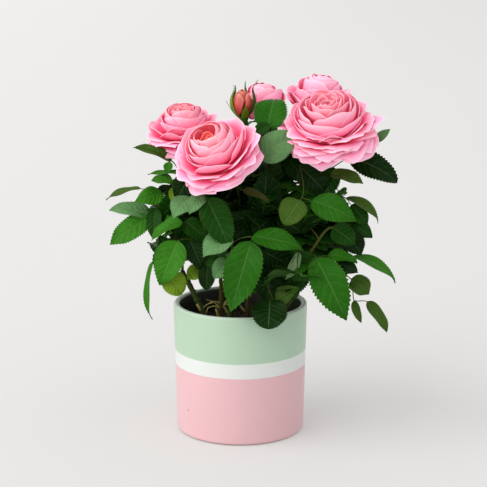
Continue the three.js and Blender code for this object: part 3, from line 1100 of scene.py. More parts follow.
@dataclass
class Limbs:
    """The canes, flower stalks and twigs, with bark relief, swollen rings at the joints, prickles and pruned
    stubs.
    """

    canes: dict[str, Pair]
    stalks: dict[str, float]
    foot_radius: float = 3.4 * MM
    tip_radius: float = 2.2 * MM
    stalk_foot: float = 1.9 * MM
    stalk_tip: float = 1.6 * MM
    stalk_weight: float = 18
    detail: float = 1.2 * MM
    joint_gap: float = 21 * MM
    joint_swell: float = 0.22
    joint_width: float = 1.6 * MM
    flare: Triple = (1.25, 1.14, 1.06)
    lumps: float = 0.22
    prickle: float = 3.2 * MM
    prickle_gap: float = 17 * MM
    prickle_tone: float = 0.5
    twig_lumps: float = 0.12
    dry_tone: float = 1.0
    dry_lumps: float = 0.3
    seed: int = 23
    finish: StemFinish = field(default_factory=StemFinish)

    def start(self, growth: Growth) -> None:
        """Starts the skeleton from the CAD limbs and joins each stalk's foot to the canes."""
        for name, (tone, girth) in self.canes.items():
            growth.start_limb(centre_line(name), self.foot_radius * girth, self.tip_radius * girth, tone)
        canes = len(growth.strands)
        for name, tone in self.stalks.items():
            growth.start_limb(centre_line(name), self.stalk_foot, self.stalk_tip, tone)
        limbs = len(growth.strands)
        for number in range(canes, limbs):
            line = growth.strands[number].line
            way, tone = unit(line[1] - line[0]), growth.strands[number].tone
            growth.shoot(line[0], way, self.stalk_weight, tone, canes)

    def build(self, growth: Growth) -> None:
        """Makes the grown skeleton into two pieces: limbs with relief, and twigs."""
        rng = np.random.default_rng(self.seed)
        bark, twigs = MeshBuffer(), MeshBuffer()
        for strand in growth.strands:
            radii = growth.radii(strand)
            if strand.parent < 0:
                self.add_limb(bark, strand, radii, rng)
            else:
                sides = 8 if radii.max() > self.detail else 6
                twigs.add_tube(strand.line, radii, sides, strand.tone, self.twig_lumps)
        self.add_stubs(bark, growth, rng)
        self.add_scraps(twigs, growth, rng)
        dressing = self.finish.material()
        limbs = bark.piece("canes_and_stalks", [dressing], None)
        hand_over(limbs, [*self.canes, *self.stalks])
        fine = twigs.piece("twigs_and_leafstalks", [dressing], None)
        hand_over(fine, [])

    def add_limb(self, buffer: MeshBuffer, strand: Strand, radii: Array, rng: Random) -> None:
        """Adds one cane or stalk with rings at its joints and prickles between them."""
        line = resample(strand.line, self.detail)
        shares = np.linspace(0, 1, len(line))
        grown = np.interp(shares, np.linspace(0, 1, len(radii)), radii)
        length = float(np.linalg.norm(np.diff(line, axis=0), axis=1).sum())
        for joint in np.arange(rng.uniform(8, 14) * MM, length, self.joint_gap):
            grown *= 1 + self.joint_swell * np.exp(-(((shares * length - joint) / self.joint_width) ** 2))
        grown[:3] *= self.flare
        buffer.add_tube(line, grown, 12, strand.tone, self.lumps)
        ahead = np.gradient(line, axis=0)
        for place in np.arange(rng.uniform(6, 12) * MM, length - 4 * MM, self.prickle_gap):
            i = int(place / length * (len(line) - 1))
            way = unit(ahead[i])
            out = unit(np.cross(way, unit(rng.normal(size=3))))
            size = self.prickle * rng.uniform(0.7, 1.1) * grown[i] / self.foot_radius
            foot = line[i] + out * grown[i] * 0.75
            middle = foot + out * size * 0.55 - way * size * 0.12
            hook = np.array([foot, middle, foot + out * size - way * size * 0.5])
            buffer.add_tube(hook, np.array([0.42, 0.22, 0.05]) * size, 6, self.prickle_tone)

    def add_stubs(self, buffer: MeshBuffer, growth: Growth, rng: Random) -> None:
        """Adds a few dry pruned stubs low on the front canes."""
        for number in range(len(self.canes)):
            line = growth.strands[number].line
            for share in (0.14, 0.3):
                if rng.random() < 0.25:
                    continue
                foot = line[int(share * (len(line) - 1))]
                out = unit([rng.uniform(-1, 1), rng.uniform(-1.0, 0.2), rng.uniform(0.3, 1.0)])
                reach = rng.uniform(7, 14) * MM
                points = [foot, foot + out * reach * 0.5, foot + out * reach + UP * 1.5 * MM]
                self.add_dry(buffer, points, (1.5, 1.15), 8)

    def add_scraps(self, buffer: MeshBuffer, growth: Growth, rng: Random) -> None:
        """Adds dry straw-coloured leafstalks caught between the canes' feet."""
        for number in (0, 0, 0, 1, 1, 1, 1, 2, 4, 5):
            foot = growth.strands[number].line[int(rng.integers(3, 6))]
            out = unit([rng.uniform(-1, 1), rng.uniform(-1, 0.1), rng.uniform(0.0, 0.5)])
            reach = rng.uniform(10, 20) * MM
            points = [foot, foot + out * reach * 0.5 + UP * 2 * MM, foot + out * reach]
            self.add_dry(buffer, points, (0.9, 0.35), 6)

    def add_dry(self, buffer: MeshBuffer, points: Sequence[Array], radii: Pair, sides: int) -> None:
        """Adds one dry stalk along a line, with its radii at foot and tip in mm."""
        path = resample(np.array(points), 2 * MM)
        buffer.add_tube(path, np.linspace(*radii, len(path)) * MM, sides, self.dry_tone, self.dry_lumps)


# ---- Leaves ----
@dataclass(frozen=True)
class Leaflet:
    """One leaflet: where it starts and ends, in mm from the middle of its CAD node's box, and its carriage.

    Attributes:
        foot: Where the blade starts.
        tip: Where it ends.
        width: Its greatest width in mm.
        face: The direction that its upper side looks in.
        tone: Its tone.
        arch: How far the middle bows up over the chord, as a share of the length.
        fold: The rise of each half from the midrib, in degrees.
        twist: The turn from foot to tip, in degrees.
        blunt: 0 for a pointed egg shape, 1 for a round one.
    """

    foot: Triple
    tip: Triple
    width: float
    face: Triple
    tone: Tone = Tone.MID
    arch: float = 0.08
    fold: float = 14.0
    twist: float = 0.0
    blunt: float = 0.0


@dataclass(frozen=True)
class BladeShape:
    """How finely a leaflet is modelled and how its edge is cut."""

    rows: int
    cols: int
    tooth: float
    thickness: float = 0.32 * MM

    def grid(self, length: float, leaflet: Leaflet, phase: float) -> Array:
        """Makes the blade's grid with its foot at the origin, its length along Y and its face towards Z."""
        width, arch, blunt = leaflet.width * MM, leaflet.arch * length, leaflet.blunt
        fold, twist = math.radians(leaflet.fold), math.radians(leaflet.twist)
        along = np.linspace(0, 1, self.rows)
        across = np.linspace(-1, 1, self.cols)
        t, u = np.meshgrid(along, across, indexing="ij")
        pointed = np.sqrt(t) * (1 - t) ** 0.82 / 0.417 * (1 - 0.3 * ease((t - 0.7) / 0.3))
        half = width / 2 * between(pointed, 2 * np.sqrt(t * (1 - t)), blunt)
        half = np.maximum(half, width * 0.012)
        odd = (np.arange(self.rows) % 2 == 1)[:, None]
        rim = np.abs(u) > 0.999
        inner_edge = 1 - self.tooth * 0.9
        reach = np.where(rim & odd, 1 + self.tooth, np.where(rim, inner_edge, 1))
        forward = np.where(rim & odd & (t < 0.97), 0.55 / (self.rows - 1), 0) * length
        x = u * half * reach
        size = np.abs(x)
        rise = np.sin(fold) * size * (1 - 0.35 * np.abs(u))
        veins = np.cos((t * 7 - np.abs(u) ** 0.8 * 1.6) * 2 * math.pi)
        relief = -veins * np.minimum(size, 0.35 * width) * 0.03 * (1 - np.abs(u) ** 4)
        wave = np.sin(t * 9 + phase + np.sign(u) * 1.3) * u**2 * width * 0.06
        wave = wave + np.sin(t * 5 + phase * 2 + u * 1.5) * np.sin(math.pi * t) * width * 0.03
        bow = arch * 4 * t * (1 - t)
        hook = -0.5 * arch * np.maximum(t - 0.72, 0) ** 2 / 0.28**2
        z = bow + hook + rise + relief + wave
        turn = twist * (t - 0.3)
        over, spread = z - bow, x * np.cos(fold) * np.cos(turn)
        x, z = spread - over * np.sin(turn), over * np.cos(turn) + x * np.sin(turn) + bow
        slope = arch * 4 * (1 - 2 * t) / length
        y = t * length + forward - (z - bow) * slope
        return np.stack([x, y, z], -1)


HERO_BLADE = BladeShape(rows=37, cols=9, tooth=0.055)
FILL_BLADE = BladeShape(rows=19, cols=5, tooth=0.055)


@dataclass
class Crown:
    """A share of the foliage that becomes one piece.

    Attributes:
        piece: The piece's name.
        sprays: Leaflets given one by one, by CAD node.
        grown: How many compound leaves grow on each of the other nodes.
        tones: The tones that they take.
    """

    piece: str
    sprays: dict[str, list[Leaflet]]
    grown: dict[str, int]
    tones: tuple[Tone, ...] = (Tone.DEEP, Tone.MID, Tone.MID, Tone.BRIGHT, Tone.SHADE)


@dataclass
class Foliage:
    """All the leaves. Listed leaflets are hung on the skeleton, then a seeded rule fills the masses."""

    crowns: list[Crown]
    bloom_nodes: list[str]
    plant_box: list[list[float]]
    growth: Growth
    leaf_length: Pair = (36 * MM, 54 * MM)
    side_share: float = 0.74
    slim: Pair = (0.56, 0.70)
    rachis: Pair = (24 * MM, 36 * MM)
    pot_keep_out: Triple = (53 * MM, 70 * MM, 131 * MM)
    front_floor: float = 142 * MM
    back_floor: float = 118 * MM
    beyond: float = 3 * MM
    beyond_plant: float = 9 * MM
    half_width: float = 0.35
    rng: Random = field(default_factory=lambda: np.random.default_rng(5))

    def build(self) -> None:
        """Grows every crown's leaves, and their twigs on the plant's skeleton, and makes the pieces."""
        buffers = {crown.piece: MeshBuffer() for crown in self.crowns}
        self.hang_sprays(buffers)
        for crown in self.crowns:
            for node, count in crown.grown.items():
                self.fill_mass(node, count, crown.tones, buffers[crown.piece])
        skins = [LeafFinish(side).material() for side in LeafSide]
        for crown in self.crowns:
            piece = buffers[crown.piece].piece(crown.piece, skins, "leaf")
            hand_over(piece, [*crown.sprays, *[n for n in crown.grown if n not in crown.sprays]])

    def hang_sprays(self, buffers: dict[str, MeshBuffer]) -> None:
        """Places the listed leaflets and grows a leafstalk to each, the innermost first."""
        placed = []
        for crown in self.crowns:
            for node, leaflets in crown.sprays.items():
                middle = node_middle(node)
                for leaflet in leaflets:
                    foot, tip = (middle + np.array(p) * MM for p in (leaflet.foot, leaflet.tip))
                    placed.append((math.hypot(foot[0], foot[1]), crown.piece, foot, tip, leaflet))
        for _, piece, foot, tip, leaflet in sorted(placed, key=lambda item: item[0]):
            way = unit(tip - foot)
            tone = 0.15 if self.rng.random() < 0.85 else 0.35
            self.growth.shoot(foot, unit(way + 0.25 * UP), 1.0, tone)
            self.add_blade(buffers[piece], HERO_BLADE, foot, tip, leaflet)

    def add_blade(
        self, buffer: MeshBuffer, shape: BladeShape, foot: Array, tip: Array, leaflet: Leaflet
    ) -> None:
        """Adds one leaflet's blade to a buffer."""
        across, along, face = axes_along(tip - foot, leaflet.face)
        grid = shape.grid(float(np.linalg.norm(tip - foot)), leaflet, self.rng.uniform(0, 6))
        points = foot + grid[..., :1] * across + grid[..., 1:2] * along + grid[..., 2:] * face
        buffer.add_sheet(points, shape.thickness, leaflet.tone.level, leaflet.tone.step)

    def surface_spots(self, node: str, count: int) -> list[tuple[Array, Array]]:
        """Picks well-spaced spots on a CAD mass, each a place and an outward direction."""
        mesh = bpy.data.objects[node].data
        faces = [(np.array(f.center), np.array(f.normal), f.area) for f in mesh.polygons]
        areas = np.array([area for _, _, area in faces])
        tries = self.rng.choice(len(faces), size=count * 12, p=areas / areas.sum())
        chosen: list[tuple[Array, Array]] = []
        gap = math.sqrt(areas.sum() / max(count, 1)) * 0.85
        while len(chosen) < count and gap > 2 * MM:
            for number in tries:
                place, normal, _ = faces[number]
                if len(chosen) < count and all(np.linalg.norm(place - other) > gap for other, _ in chosen):
                    chosen.append((place, normal))
            gap *= 0.85
        return chosen

    def is_clear(self, places: Array) -> bool:
        """Says whether a blade keeps out of the blooms and the pot's wall."""
        inner, outer, top = self.pot_keep_out
        away = np.hypot(places[:, 0], places[:, 1])
        floor = np.where(places[:, 1] < 0, self.front_floor, self.back_floor)
        if np.any((places[:, 2] < top) & (away > inner) & (away < outer)) or np.any(places[:, 2] < floor):
            return False
        for name in self.bloom_nodes:
            low, high = (np.array(corner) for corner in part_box(name))
            share = (places - (low + high) / 2) / ((high - low) / 2 * 0.86)
            if np.any((share**2).sum(1) < 1):
                return False
        return True

    def fill_mass(self, node: str, count: int, tones: Sequence[Tone], buffer: MeshBuffer) -> None:
        """Grows compound leaves out to the surface of one CAD mass."""
        rng = self.rng
        for place, out in self.surface_spots(node, count):
            sideways = unit(np.cross(out, rng.normal(size=3)))
            way = unit(out * 0.75 + sideways * 0.55 + UP * rng.uniform(-0.25, 0.15))
            rachis = rng.uniform(*self.rachis)
            terminal = rng.uniform(*self.leaf_length)
            foot = place - way * (rachis + terminal) * 0.92
            face = unit(UP * rng.uniform(0.5, 1.0) + out * rng.uniform(0.4, 0.8))
            blades = self.compound(node, foot, axes_along(way, face), (rachis, terminal), tones)
            if blades:
                tone = 0.05 if rng.random() < 0.8 else 0.4
                self.growth.shoot(foot + way * rachis, unit(way), float(len(blades)), tone)
            for start, tip, leaflet in blades:
                self.add_blade(buffer, FILL_BLADE, start, tip, leaflet)

    def fits(self, node: str, start: Array, tip: Array) -> bool:
        """Says whether a leaflet keeps within its CAD mass, the plant's box and the space round it."""
        low, high = (np.array(corner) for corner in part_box(node))
        middle = (start + tip) / 2
        spread = self.half_width * float(np.linalg.norm(tip - start)) - self.beyond_plant
        inside = np.all(tip >= low - self.beyond) and np.all(tip <= high + self.beyond)
        least, most = self.plant_box
        within = np.all(middle - spread >= least) and np.all(middle + spread <= most)
        return bool(inside and within and self.is_clear(np.array([start, middle, tip])))

    def compound(
        self, node: str, foot: Array, axes: Sequence[Array], lengths: Pair, tones: Sequence[Tone]
    ) -> list[tuple[Array, Array, Leaflet]]:
        """Lays out an end leaflet and two pairs of side ones, and gives those that fit with their ends."""
        rng = self.rng
        across, along, up = axes
        rachis, terminal = lengths
        blades = []
        tone = tones[rng.integers(len(tones))]
        for share, side in ((1.0, 0), (0.82, 1), (0.82, -1), (0.42, 1), (0.42, -1)):
            start = foot + along * rachis * share
            if side:
                turn = math.radians(rng.uniform(50, 68))
                heading = along * math.cos(turn) + across * side * math.sin(turn)
                length = terminal * self.side_share * rng.uniform(0.85, 1.1) * (1.0 if share > 0.5 else 0.8)
            else:
                heading, length = along, terminal
            heading = unit(heading - UP * rng.uniform(0.0, 0.35) + up * rng.uniform(-0.1, 0.15))
            tip = start + heading * length
            if not self.fits(node, start, tip):
                continue
            leaflet = Leaflet(
                foot=(0, 0, 0),
                tip=(0, 0, 0),
                width=length / MM * rng.uniform(*self.slim),
                face=tuple(up + rng.normal(size=3) * 0.12),
                tone=tone if rng.random() < 0.75 else tones[rng.integers(len(tones))],
                arch=rng.uniform(0.02, 0.12),
                fold=rng.uniform(6, 22),
                twist=rng.uniform(-16, 16),
                blunt=rng.uniform(0.0, 0.5),
            )
            blades.append((start, tip, leaflet))
        return blades


# ---- Blooms ----
@dataclass(frozen=True)
class Petal:
    """One petal in its bloom's own frame; lengths in mm, angles in degrees.

    Attributes:
        azimuth: Its place round the bloom, 0 to the right and 270 towards the front.
        lip: Radius and height of the middle of its lip.
        rise: Its direction as it leaves the bloom's foot, up from level.
        fall: Its direction at the lip, up from level, over 90 when it leans in.
        width: Its greatest width.
        flat: How much flatter it is than the circle round the axis.
        peak: How far the lip comes to a point.
        ruffle: How far the lip waves.
        warmth: 0 for coral of the heart, 1 for the pink of the outside.
        roll: How far the lip rolls back.
    """

    azimuth: float
    lip: Pair
    rise: float
    fall: float
    width: float
    flat: float = 0.2
    peak: float = 0.0
    ruffle: float = 1.0
    warmth: float = 1.0
    roll: float = 2.5


@dataclass
class Bloom:
    """One open rose on its calyx: a coral heart, a globe of petals closed over it, and a skirt of open ones.

    The closed petals' lips lie on a small ball, and the skirt's lips run from that ball's side out and down.

    Attributes:
        node: The CAD node that it stands for.
        axis: The direction in which it looks.
        radius: Radius of the skirt, in mm.
        drop: How far the foot lies below the node's middle, in mm.
        globe: Radius of the closed globe and height of its top over the foot, in mm.
        low: Height of the skirt's widest lips over the foot, in mm.
        counts: How many petals the heart, the globe and the skirt have.
        lean: Direction of the skirt's innermost and outermost lips, up from level, in degrees.
        opening: How late the skirt's lips turn from the first of those directions to the second.
        broad: Width of the skirt's innermost and outermost petals, as a share of the radius.
        past: How far the outermost lips go on below the widest ones, in degrees.
        mouth: Angle from the axis of the globe's innermost and outermost lips, in degrees.
        roll: How far the lips of the skirt roll back, in mm.
        warm: Warmth of the globe's innermost and outermost petals.
        core: Reach of the heart's lips as a share of the globe, their depth in it in mm, and their warmth.
        point: How far the skirt's lips come to a point, in mm.
        seed: Start of its chance.
        twist: Turn of the whole spiral, in degrees.
        guards: Petals given one by one outside the spiral.
        shift: How far the bloom stands from the node's middle, in mm.
    """

    node: str
    axis: Triple
    radius: float
    drop: float
    globe: Pair
    low: float
    counts: tuple[int, int, int]
    lean: Pair = (92.0, -38.0)
    opening: float = 0.9
    broad: Pair = (1.15, 1.45)
    past: float = 20.0
    mouth: Pair = (20.0, 80.0)
    roll: float = 3.0
    warm: Pair = (0.55, 0.95)
    core: Triple = (0.26, 10.0, 0.0)
    point: Pair = (1.0, 6.0)
    seed: int = 1
    twist: float = 0.0
    guards: tuple[Petal, ...] = ()
    shift: Triple = (0.0, 0.0, 0.0)
    rows: int = 19
    cols: int = 17
    thickness: float = 0.34 * MM

    def frame(self) -> tuple[Array, Array]:
        """Gives the bloom's foot and its axes as rows."""
        axes = upright_axes(self.axis)
        foot = node_middle(self.node) + (np.array(self.shift) - axes[2] * self.drop) * MM
        return foot, axes

    def spiral(self, rng: Random) -> list[Petal]:
        """Lays out the spiral of petals, the innermost first."""
        petals = []
        for i in range(sum(self.counts)):
            azimuth = math.degrees(i * GOLDEN_ANGLE) + self.twist + rng.uniform(-10, 10)
            if i < self.counts[0]:
                petal = self.heart_petal(azimuth, i / self.counts[0], rng)
            elif i < self.counts[0] + self.counts[1]:
                petal = self.globe_petal(azimuth, (i - self.counts[0]) / max(1, self.counts[1] - 1), rng)
            else:
                outer = (i - self.counts[0] - self.counts[1]) / max(1, self.counts[2] - 1)
                petal = self.skirt_petal(azimuth, outer, rng)
            petals.append(petal)
        return petals

    def heart_petal(self, azimuth: float, share: float, rng: Random) -> Petal:
        """Makes a small upright petal of the heart."""
        radius, top = self.globe
        reach, depth, warmth = self.core
        height = top - depth * between(1.2, 0.8, share) + rng.uniform(-1.2, 1.2)
        lip = (between(0.08, reach, share) * radius, height)
        width = between(0.4, 0.4 + 1.5 * reach, share) * radius
        form = {"flat": 0.05, "peak": 0.8, "ruffle": 1.6, "warmth": warmth, "roll": 0.8}
        return Petal(azimuth, lip, rise=62, fall=104, width=width, **form)

    def globe_petal(self, azimuth: float, share: float, rng: Random) -> Petal:
        """Makes a petal that closes over the heart."""
        radius, top = self.globe
        turn = math.radians(between(*self.mouth, share**1.3) + rng.uniform(-3, 3))
        half_height = 0.72 * radius
        lip = (math.sin(turn) * radius + rng.uniform(-0.8, 0.8), top - half_height * (1 - math.cos(turn)))
        lean = 180 - math.degrees(turn) - between(12, 4, share) + rng.normal() * 4
        width = between(1.3, 2.4, share) * radius * rng.uniform(0.85, 1.1)
        warmth = between(*self.warm, share)
        form = {"flat": 0.04, "peak": rng.uniform(0, 2.2), "ruffle": 1.3, "warmth": warmth, "roll": 1.3}
        return Petal(azimuth, lip, rise=6, fall=lean, width=width, **form)

    def skirt_petal(self, azimuth: float, share: float, rng: Random) -> Petal:
        """Makes an open petal whose lip rolls back."""
        inner, top = self.globe
        inner, high = inner * 1.06, top - 0.56 * inner
        turn = math.radians(between(10.0, 90.0 + self.past, share**0.9))
        lip = (
            (between(inner, self.radius, math.sin(turn))) * rng.uniform(0.95, 1.03),
            between(self.low, high, math.cos(turn)) + rng.normal() * 1.2,
        )
        lean = between(*self.lean, share**self.opening) + rng.normal() * 12
        width = between(*self.broad, share) * self.radius * rng.uniform(0.78, 1.12)
        flat = between(0.15, 0.8, share)
        roll = self.roll * between(0.6, 1.1, share) * rng.uniform(0.5, 1.4)
        warmth, ruffle = between(0.84, 1.0, share), between(1.5, 2.4, share)
        rise = 6 - 24 * math.sin(math.pi * share)
        return Petal(azimuth, lip, rise, lean, width, flat, rng.uniform(*self.point), ruffle, warmth, roll)

    def petal_grid(self, petal: Petal, order: float, rng: Random) -> Array:
        """Makes one petal's grid in the bloom's own frame; order runs from 0 inside to 1 outside."""
        along = 1 - (1 - np.linspace(0, 1, self.rows)) ** 1.35
        across = np.linspace(-1, 1, self.cols)
        s, u = np.meshgrid(along, across, indexing="ij")
        start = np.array([between(1.6, 6.5, order), between(5.0, 0.5, order)])
        stop = np.array(petal.lip)
        chord = float(np.linalg.norm(stop - start))
        leave, arrive = math.radians(petal.rise), math.radians(petal.fall)
        velocity = np.array([[math.cos(a), math.sin(a)] for a in (leave, arrive)]) * chord
        phase = rng.uniform(0, 6.3, 4)
        notch = 0.018 * np.sin(u * 5.5 + phase[0]) + 0.007 * np.sin(u * 12 + phase[1])
        round_off = s * (1 - 0.20 * np.abs(u) ** 3.6 + notch * s**2)
        profile = hermite(start, stop, velocity[0] * 1.3, velocity[1] * 0.9, round_off)
        radius, height = profile[..., 0], profile[..., 1]
        swell = 0.16 + 0.84 * np.sin(np.minimum(s / 0.7, 1) * math.pi / 2) ** 0.9
        half = petal.width / 2 * swell * (1 - 0.10 * ease((s - 0.72) / 0.28))
        curve = np.maximum(radius * (1 + petal.flat), 2.2)
        angle = np.clip(u * half / curve, -2.5, 2.5)
        waves = 0.6 * np.sin(u * 3.3 + phase[0]) + 0.18 * np.sin(u * 9.0 + phase[1]) * s**3
        shift = 1.3 * u * s + petal.ruffle * s**3 * waves
        openness = ease((90 - petal.fall) / 120)
        shift = shift + openness * 3.4 * np.abs(u) ** 4 * s**2
        turned = radius - curve + (curve + shift) * np.cos(angle)
        lateral = (curve + shift) * np.sin(angle)
        peak = petal.peak * np.maximum(1 - np.abs(u + 0.25 * math.sin(phase[2])) * 1.6, 0) * s**6
        uneven = 0.7 + 0.3 * np.cos(u * 2.6 + phase[3])
        rolled = petal.roll * np.maximum(s - 0.78, 0) ** 2 / 0.22**2 * uneven
        turned = turned + peak * math.cos(arrive) + rolled * math.sin(arrive) * 0.9
        turned = turned - 0.25 * rolled * math.cos(arrive)
        height = height + peak * math.sin(arrive) - rolled * (0.35 + 0.65 * math.cos(arrive))
        height = height + petal.ruffle * 0.35 * s**4 * np.sin(u * 4 + phase[2])
        azimuth = math.radians(petal.azimuth)
        x = turned * math.cos(azimuth) - lateral * math.sin(azimuth)
        y = turned * math.sin(azimuth) + lateral * math.cos(azimuth)
        return np.stack([x, y, height], -1) * MM

    def build(self, skins: list[Material], green: MeshBuffer) -> None:
        """Makes the petals one piece and adds the calyx to the shared green parts."""
        rng = np.random.default_rng(self.seed)
        foot, axes = self.frame()
        buffer = MeshBuffer()
        petals = self.spiral(rng)
        count = len(petals) + len(self.guards)
        for number, petal in enumerate([*petals, *self.guards]):
            grid = self.petal_grid(petal, min(1.0, number / max(1, count - 1)), rng)
            step = round(petal.warmth * (TONES - 1))
            buffer.add_sheet(foot + grid @ axes, self.thickness, step / (TONES - 1), step)
        piece = buffer.piece(self.node + "_petals", skins, "petal")
        hand_over(piece, [self.node])
        add_calyx(green, foot, axes, 6.5 * MM)
        sepal = np.array([[5.5, 0.5], [11, -2], [17, -1], [24, -6]]) * MM
        for turn in range(5):
            add_sepal(green, foot, axes, sepal, 7 * MM, turn * math.tau / 5 + self.seed, Tone.MID)


def add_calyx(green: MeshBuffer, foot: Array, axes: Array, radius: float) -> None:
    """Adds the green hip under a bloom; the axes are rows."""
    heights = np.linspace(-9, 4, 9) * MM
    profile = radius * np.array([0.32, 0.42, 0.62, 0.8, 0.92, 1.0, 1.0, 0.92, 0.7])
    line = foot + heights[:, None] * axes[2]
    green.add_tube(line, profile, 14, Tone.MID.level)


def add_sepal(
    green: MeshBuffer, foot: Array, axes: Array, profile: Array, width: float, turn: float, tone: Tone
) -> None:
    """Adds one narrow sepal whose profile is (radius, height) points from the foot to the tip."""
    rows, cols = 13, 5
    line = resample(np.column_stack([profile, np.zeros(len(profile))]), 2 * MM)[:, :2]
    shares = np.linspace(0, 1, rows)
    places = np.linspace(0, 1, len(line))
    radius, height = (np.interp(shares, places, line[:, i]) for i in (0, 1))
    half = width / 2 * np.interp(shares, [0, 0.15, 0.4, 0.62, 0.8, 1], [0.8, 1.0, 1.0, 0.6, 0.2, 0.06])
    across = np.linspace(-1, 1, cols)
    angle = across[None, :] * (half / np.maximum(radius, width * 0.45))[:, None]
    x = radius[:, None] * np.cos(angle)
    y = radius[:, None] * np.sin(angle)
    c, s = math.cos(turn), math.sin(turn)
    grid = np.stack([x * c - y * s, x * s + y * c, np.repeat(height[:, None], cols, 1)], -1)
    green.add_sheet(foot + grid @ axes, SEPAL_THICKNESS, tone.level, tone.step)


@dataclass
class Bud:
    """The bud: furled coral petals half wrapped in green sepals with long tips.

    Attributes:
        node: The CAD node that it stands for.
        axis: The direction in which it points.
        radius: Its greatest radius in mm.
        height: Its height in mm.
        foot_gap: Height of its foot over the node's, in mm.
        hug: How far the sepals stand off the petals, in mm.
        thickness: A petal's thickness.
        furls: Each petal's azimuth in degrees, half its sweep in radians, its layer and its tone's number.
        sepals: Each sepal's azimuth in degrees, height and outward flare as shares, width in mm, and tone.
        seed: Start of its chance.
    """

    node: str = "bud"
    axis: Triple = (-0.06, -0.04, 1.0)
    radius: float = 10.6
    height: float = 27.0
    foot_gap: float = 2.0
    hug: float = 1.3
    thickness: float = SEPAL_THICKNESS
    # The tone numbers are partly painted light: darker steps go to petals seen in the shade between the
    # sepals, and the lightest to the left petal that faces the light.
    furls: tuple[tuple[float, float, float, int], ...] = (
        (40, 2.2, 0.0, 0),
        (180, 2.1, 0.15, 1),
        (310, 2.0, 0.3, 0),
        (95, 1.8, 0.45, 2),
        (262, 1.2, 0.4, 0),
        (140, 1.2, 0.75, 4),
        (20, 1.2, 0.85, 3),
        (204, 0.76, 0.94, 7),
        (305, 0.70, 1.0, 3),
    )
    sepals: tuple[tuple[float, float, float, float, Tone], ...] = (
        (203, 1.17, 0.15, 8.5, Tone.LIME),
        (338, 1.33, 1.05, 8.5, Tone.OLIVE),
        (284, 0.52, 0.02, 7.5, Tone.LIME),
        (70, 1.2, 0.5, 8.0, Tone.MID),
        (128, 1.1, 0.3, 8.0, Tone.MID),
        (184, 0.62, 0.35, 2.4, Tone.MID),
        (356, 0.78, 0.3, 2.4, Tone.MID),
    )
    seed: int = 77

    def build(self, skin: Material, green: MeshBuffer) -> None:
        """Models the bud's petals as one piece and adds its sepals to the green parts."""
        rng = np.random.default_rng(self.seed)
        low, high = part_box(self.node)
        axes = upright_axes(self.axis)
        foot = np.array([(low.x + high.x) / 2, (low.y + high.y) / 2, low.z + self.foot_gap * MM])
        buffer = MeshBuffer()
        for azimuth, span, share, step in self.furls:
            grid = self.furled(share, azimuth, span, rng)
            buffer.add_sheet(foot + grid @ axes, self.thickness, step / (TONES - 1), step)
        piece = buffer.piece("bud_petals", [skin, skin], "petal")
        hand_over(piece, [self.node])
        add_calyx(green, foot, axes, 5.0 * MM)
        for turn, tall, flare, width, tone in self.sepals:
            up = np.linspace(0, tall, 9)
            reach = self.radius * (self.belly(np.minimum(up, 1.0)) + flare * (up / tall) ** 3) + self.hug
            profile = np.column_stack([reach, self.height * up]) * MM
            add_sepal(green, foot, axes, profile, width * MM, math.radians(turn), tone)

    def belly(self, up: Array) -> Array:
        """Gives the bud's girth, as a share of its radius, at shares of its height."""
        return np.sin(math.pi * (0.08 + 0.80 * up)) ** 0.75

    def furled(self, share: float, azimuth: float, span: float, rng: Random) -> Array:
        """Makes one furled petal's grid, wrapped part of the way round the bud."""
        rows, cols = 20, 17
        s, u = np.meshgrid(np.linspace(0, 1, rows), np.linspace(-1, 1, cols), indexing="ij")
        girth = between(0.4, 1.0, share) * self.radius
        radius = np.maximum(girth * self.belly(s), 1.1) + 0.45 * u * s
        height = self.height * between(0.98, 0.86, share) * s * (1 - 0.24 * np.abs(u) ** 2.4)
        angle = u * span * (0.5 + 0.5 * ease(s * 2.5)) + math.radians(azimuth) + 0.6 * s
        lip = ease((s - 0.8) / 0.2) * share
        radius = radius + lip * 1.5 * (0.3 + 0.7 * np.abs(u)) + 0.3 * np.sin(u * 6 + rng.uniform(0, 6)) * s**2
        return np.stack([radius * np.cos(angle), radius * np.sin(angle), height], -1) * MM


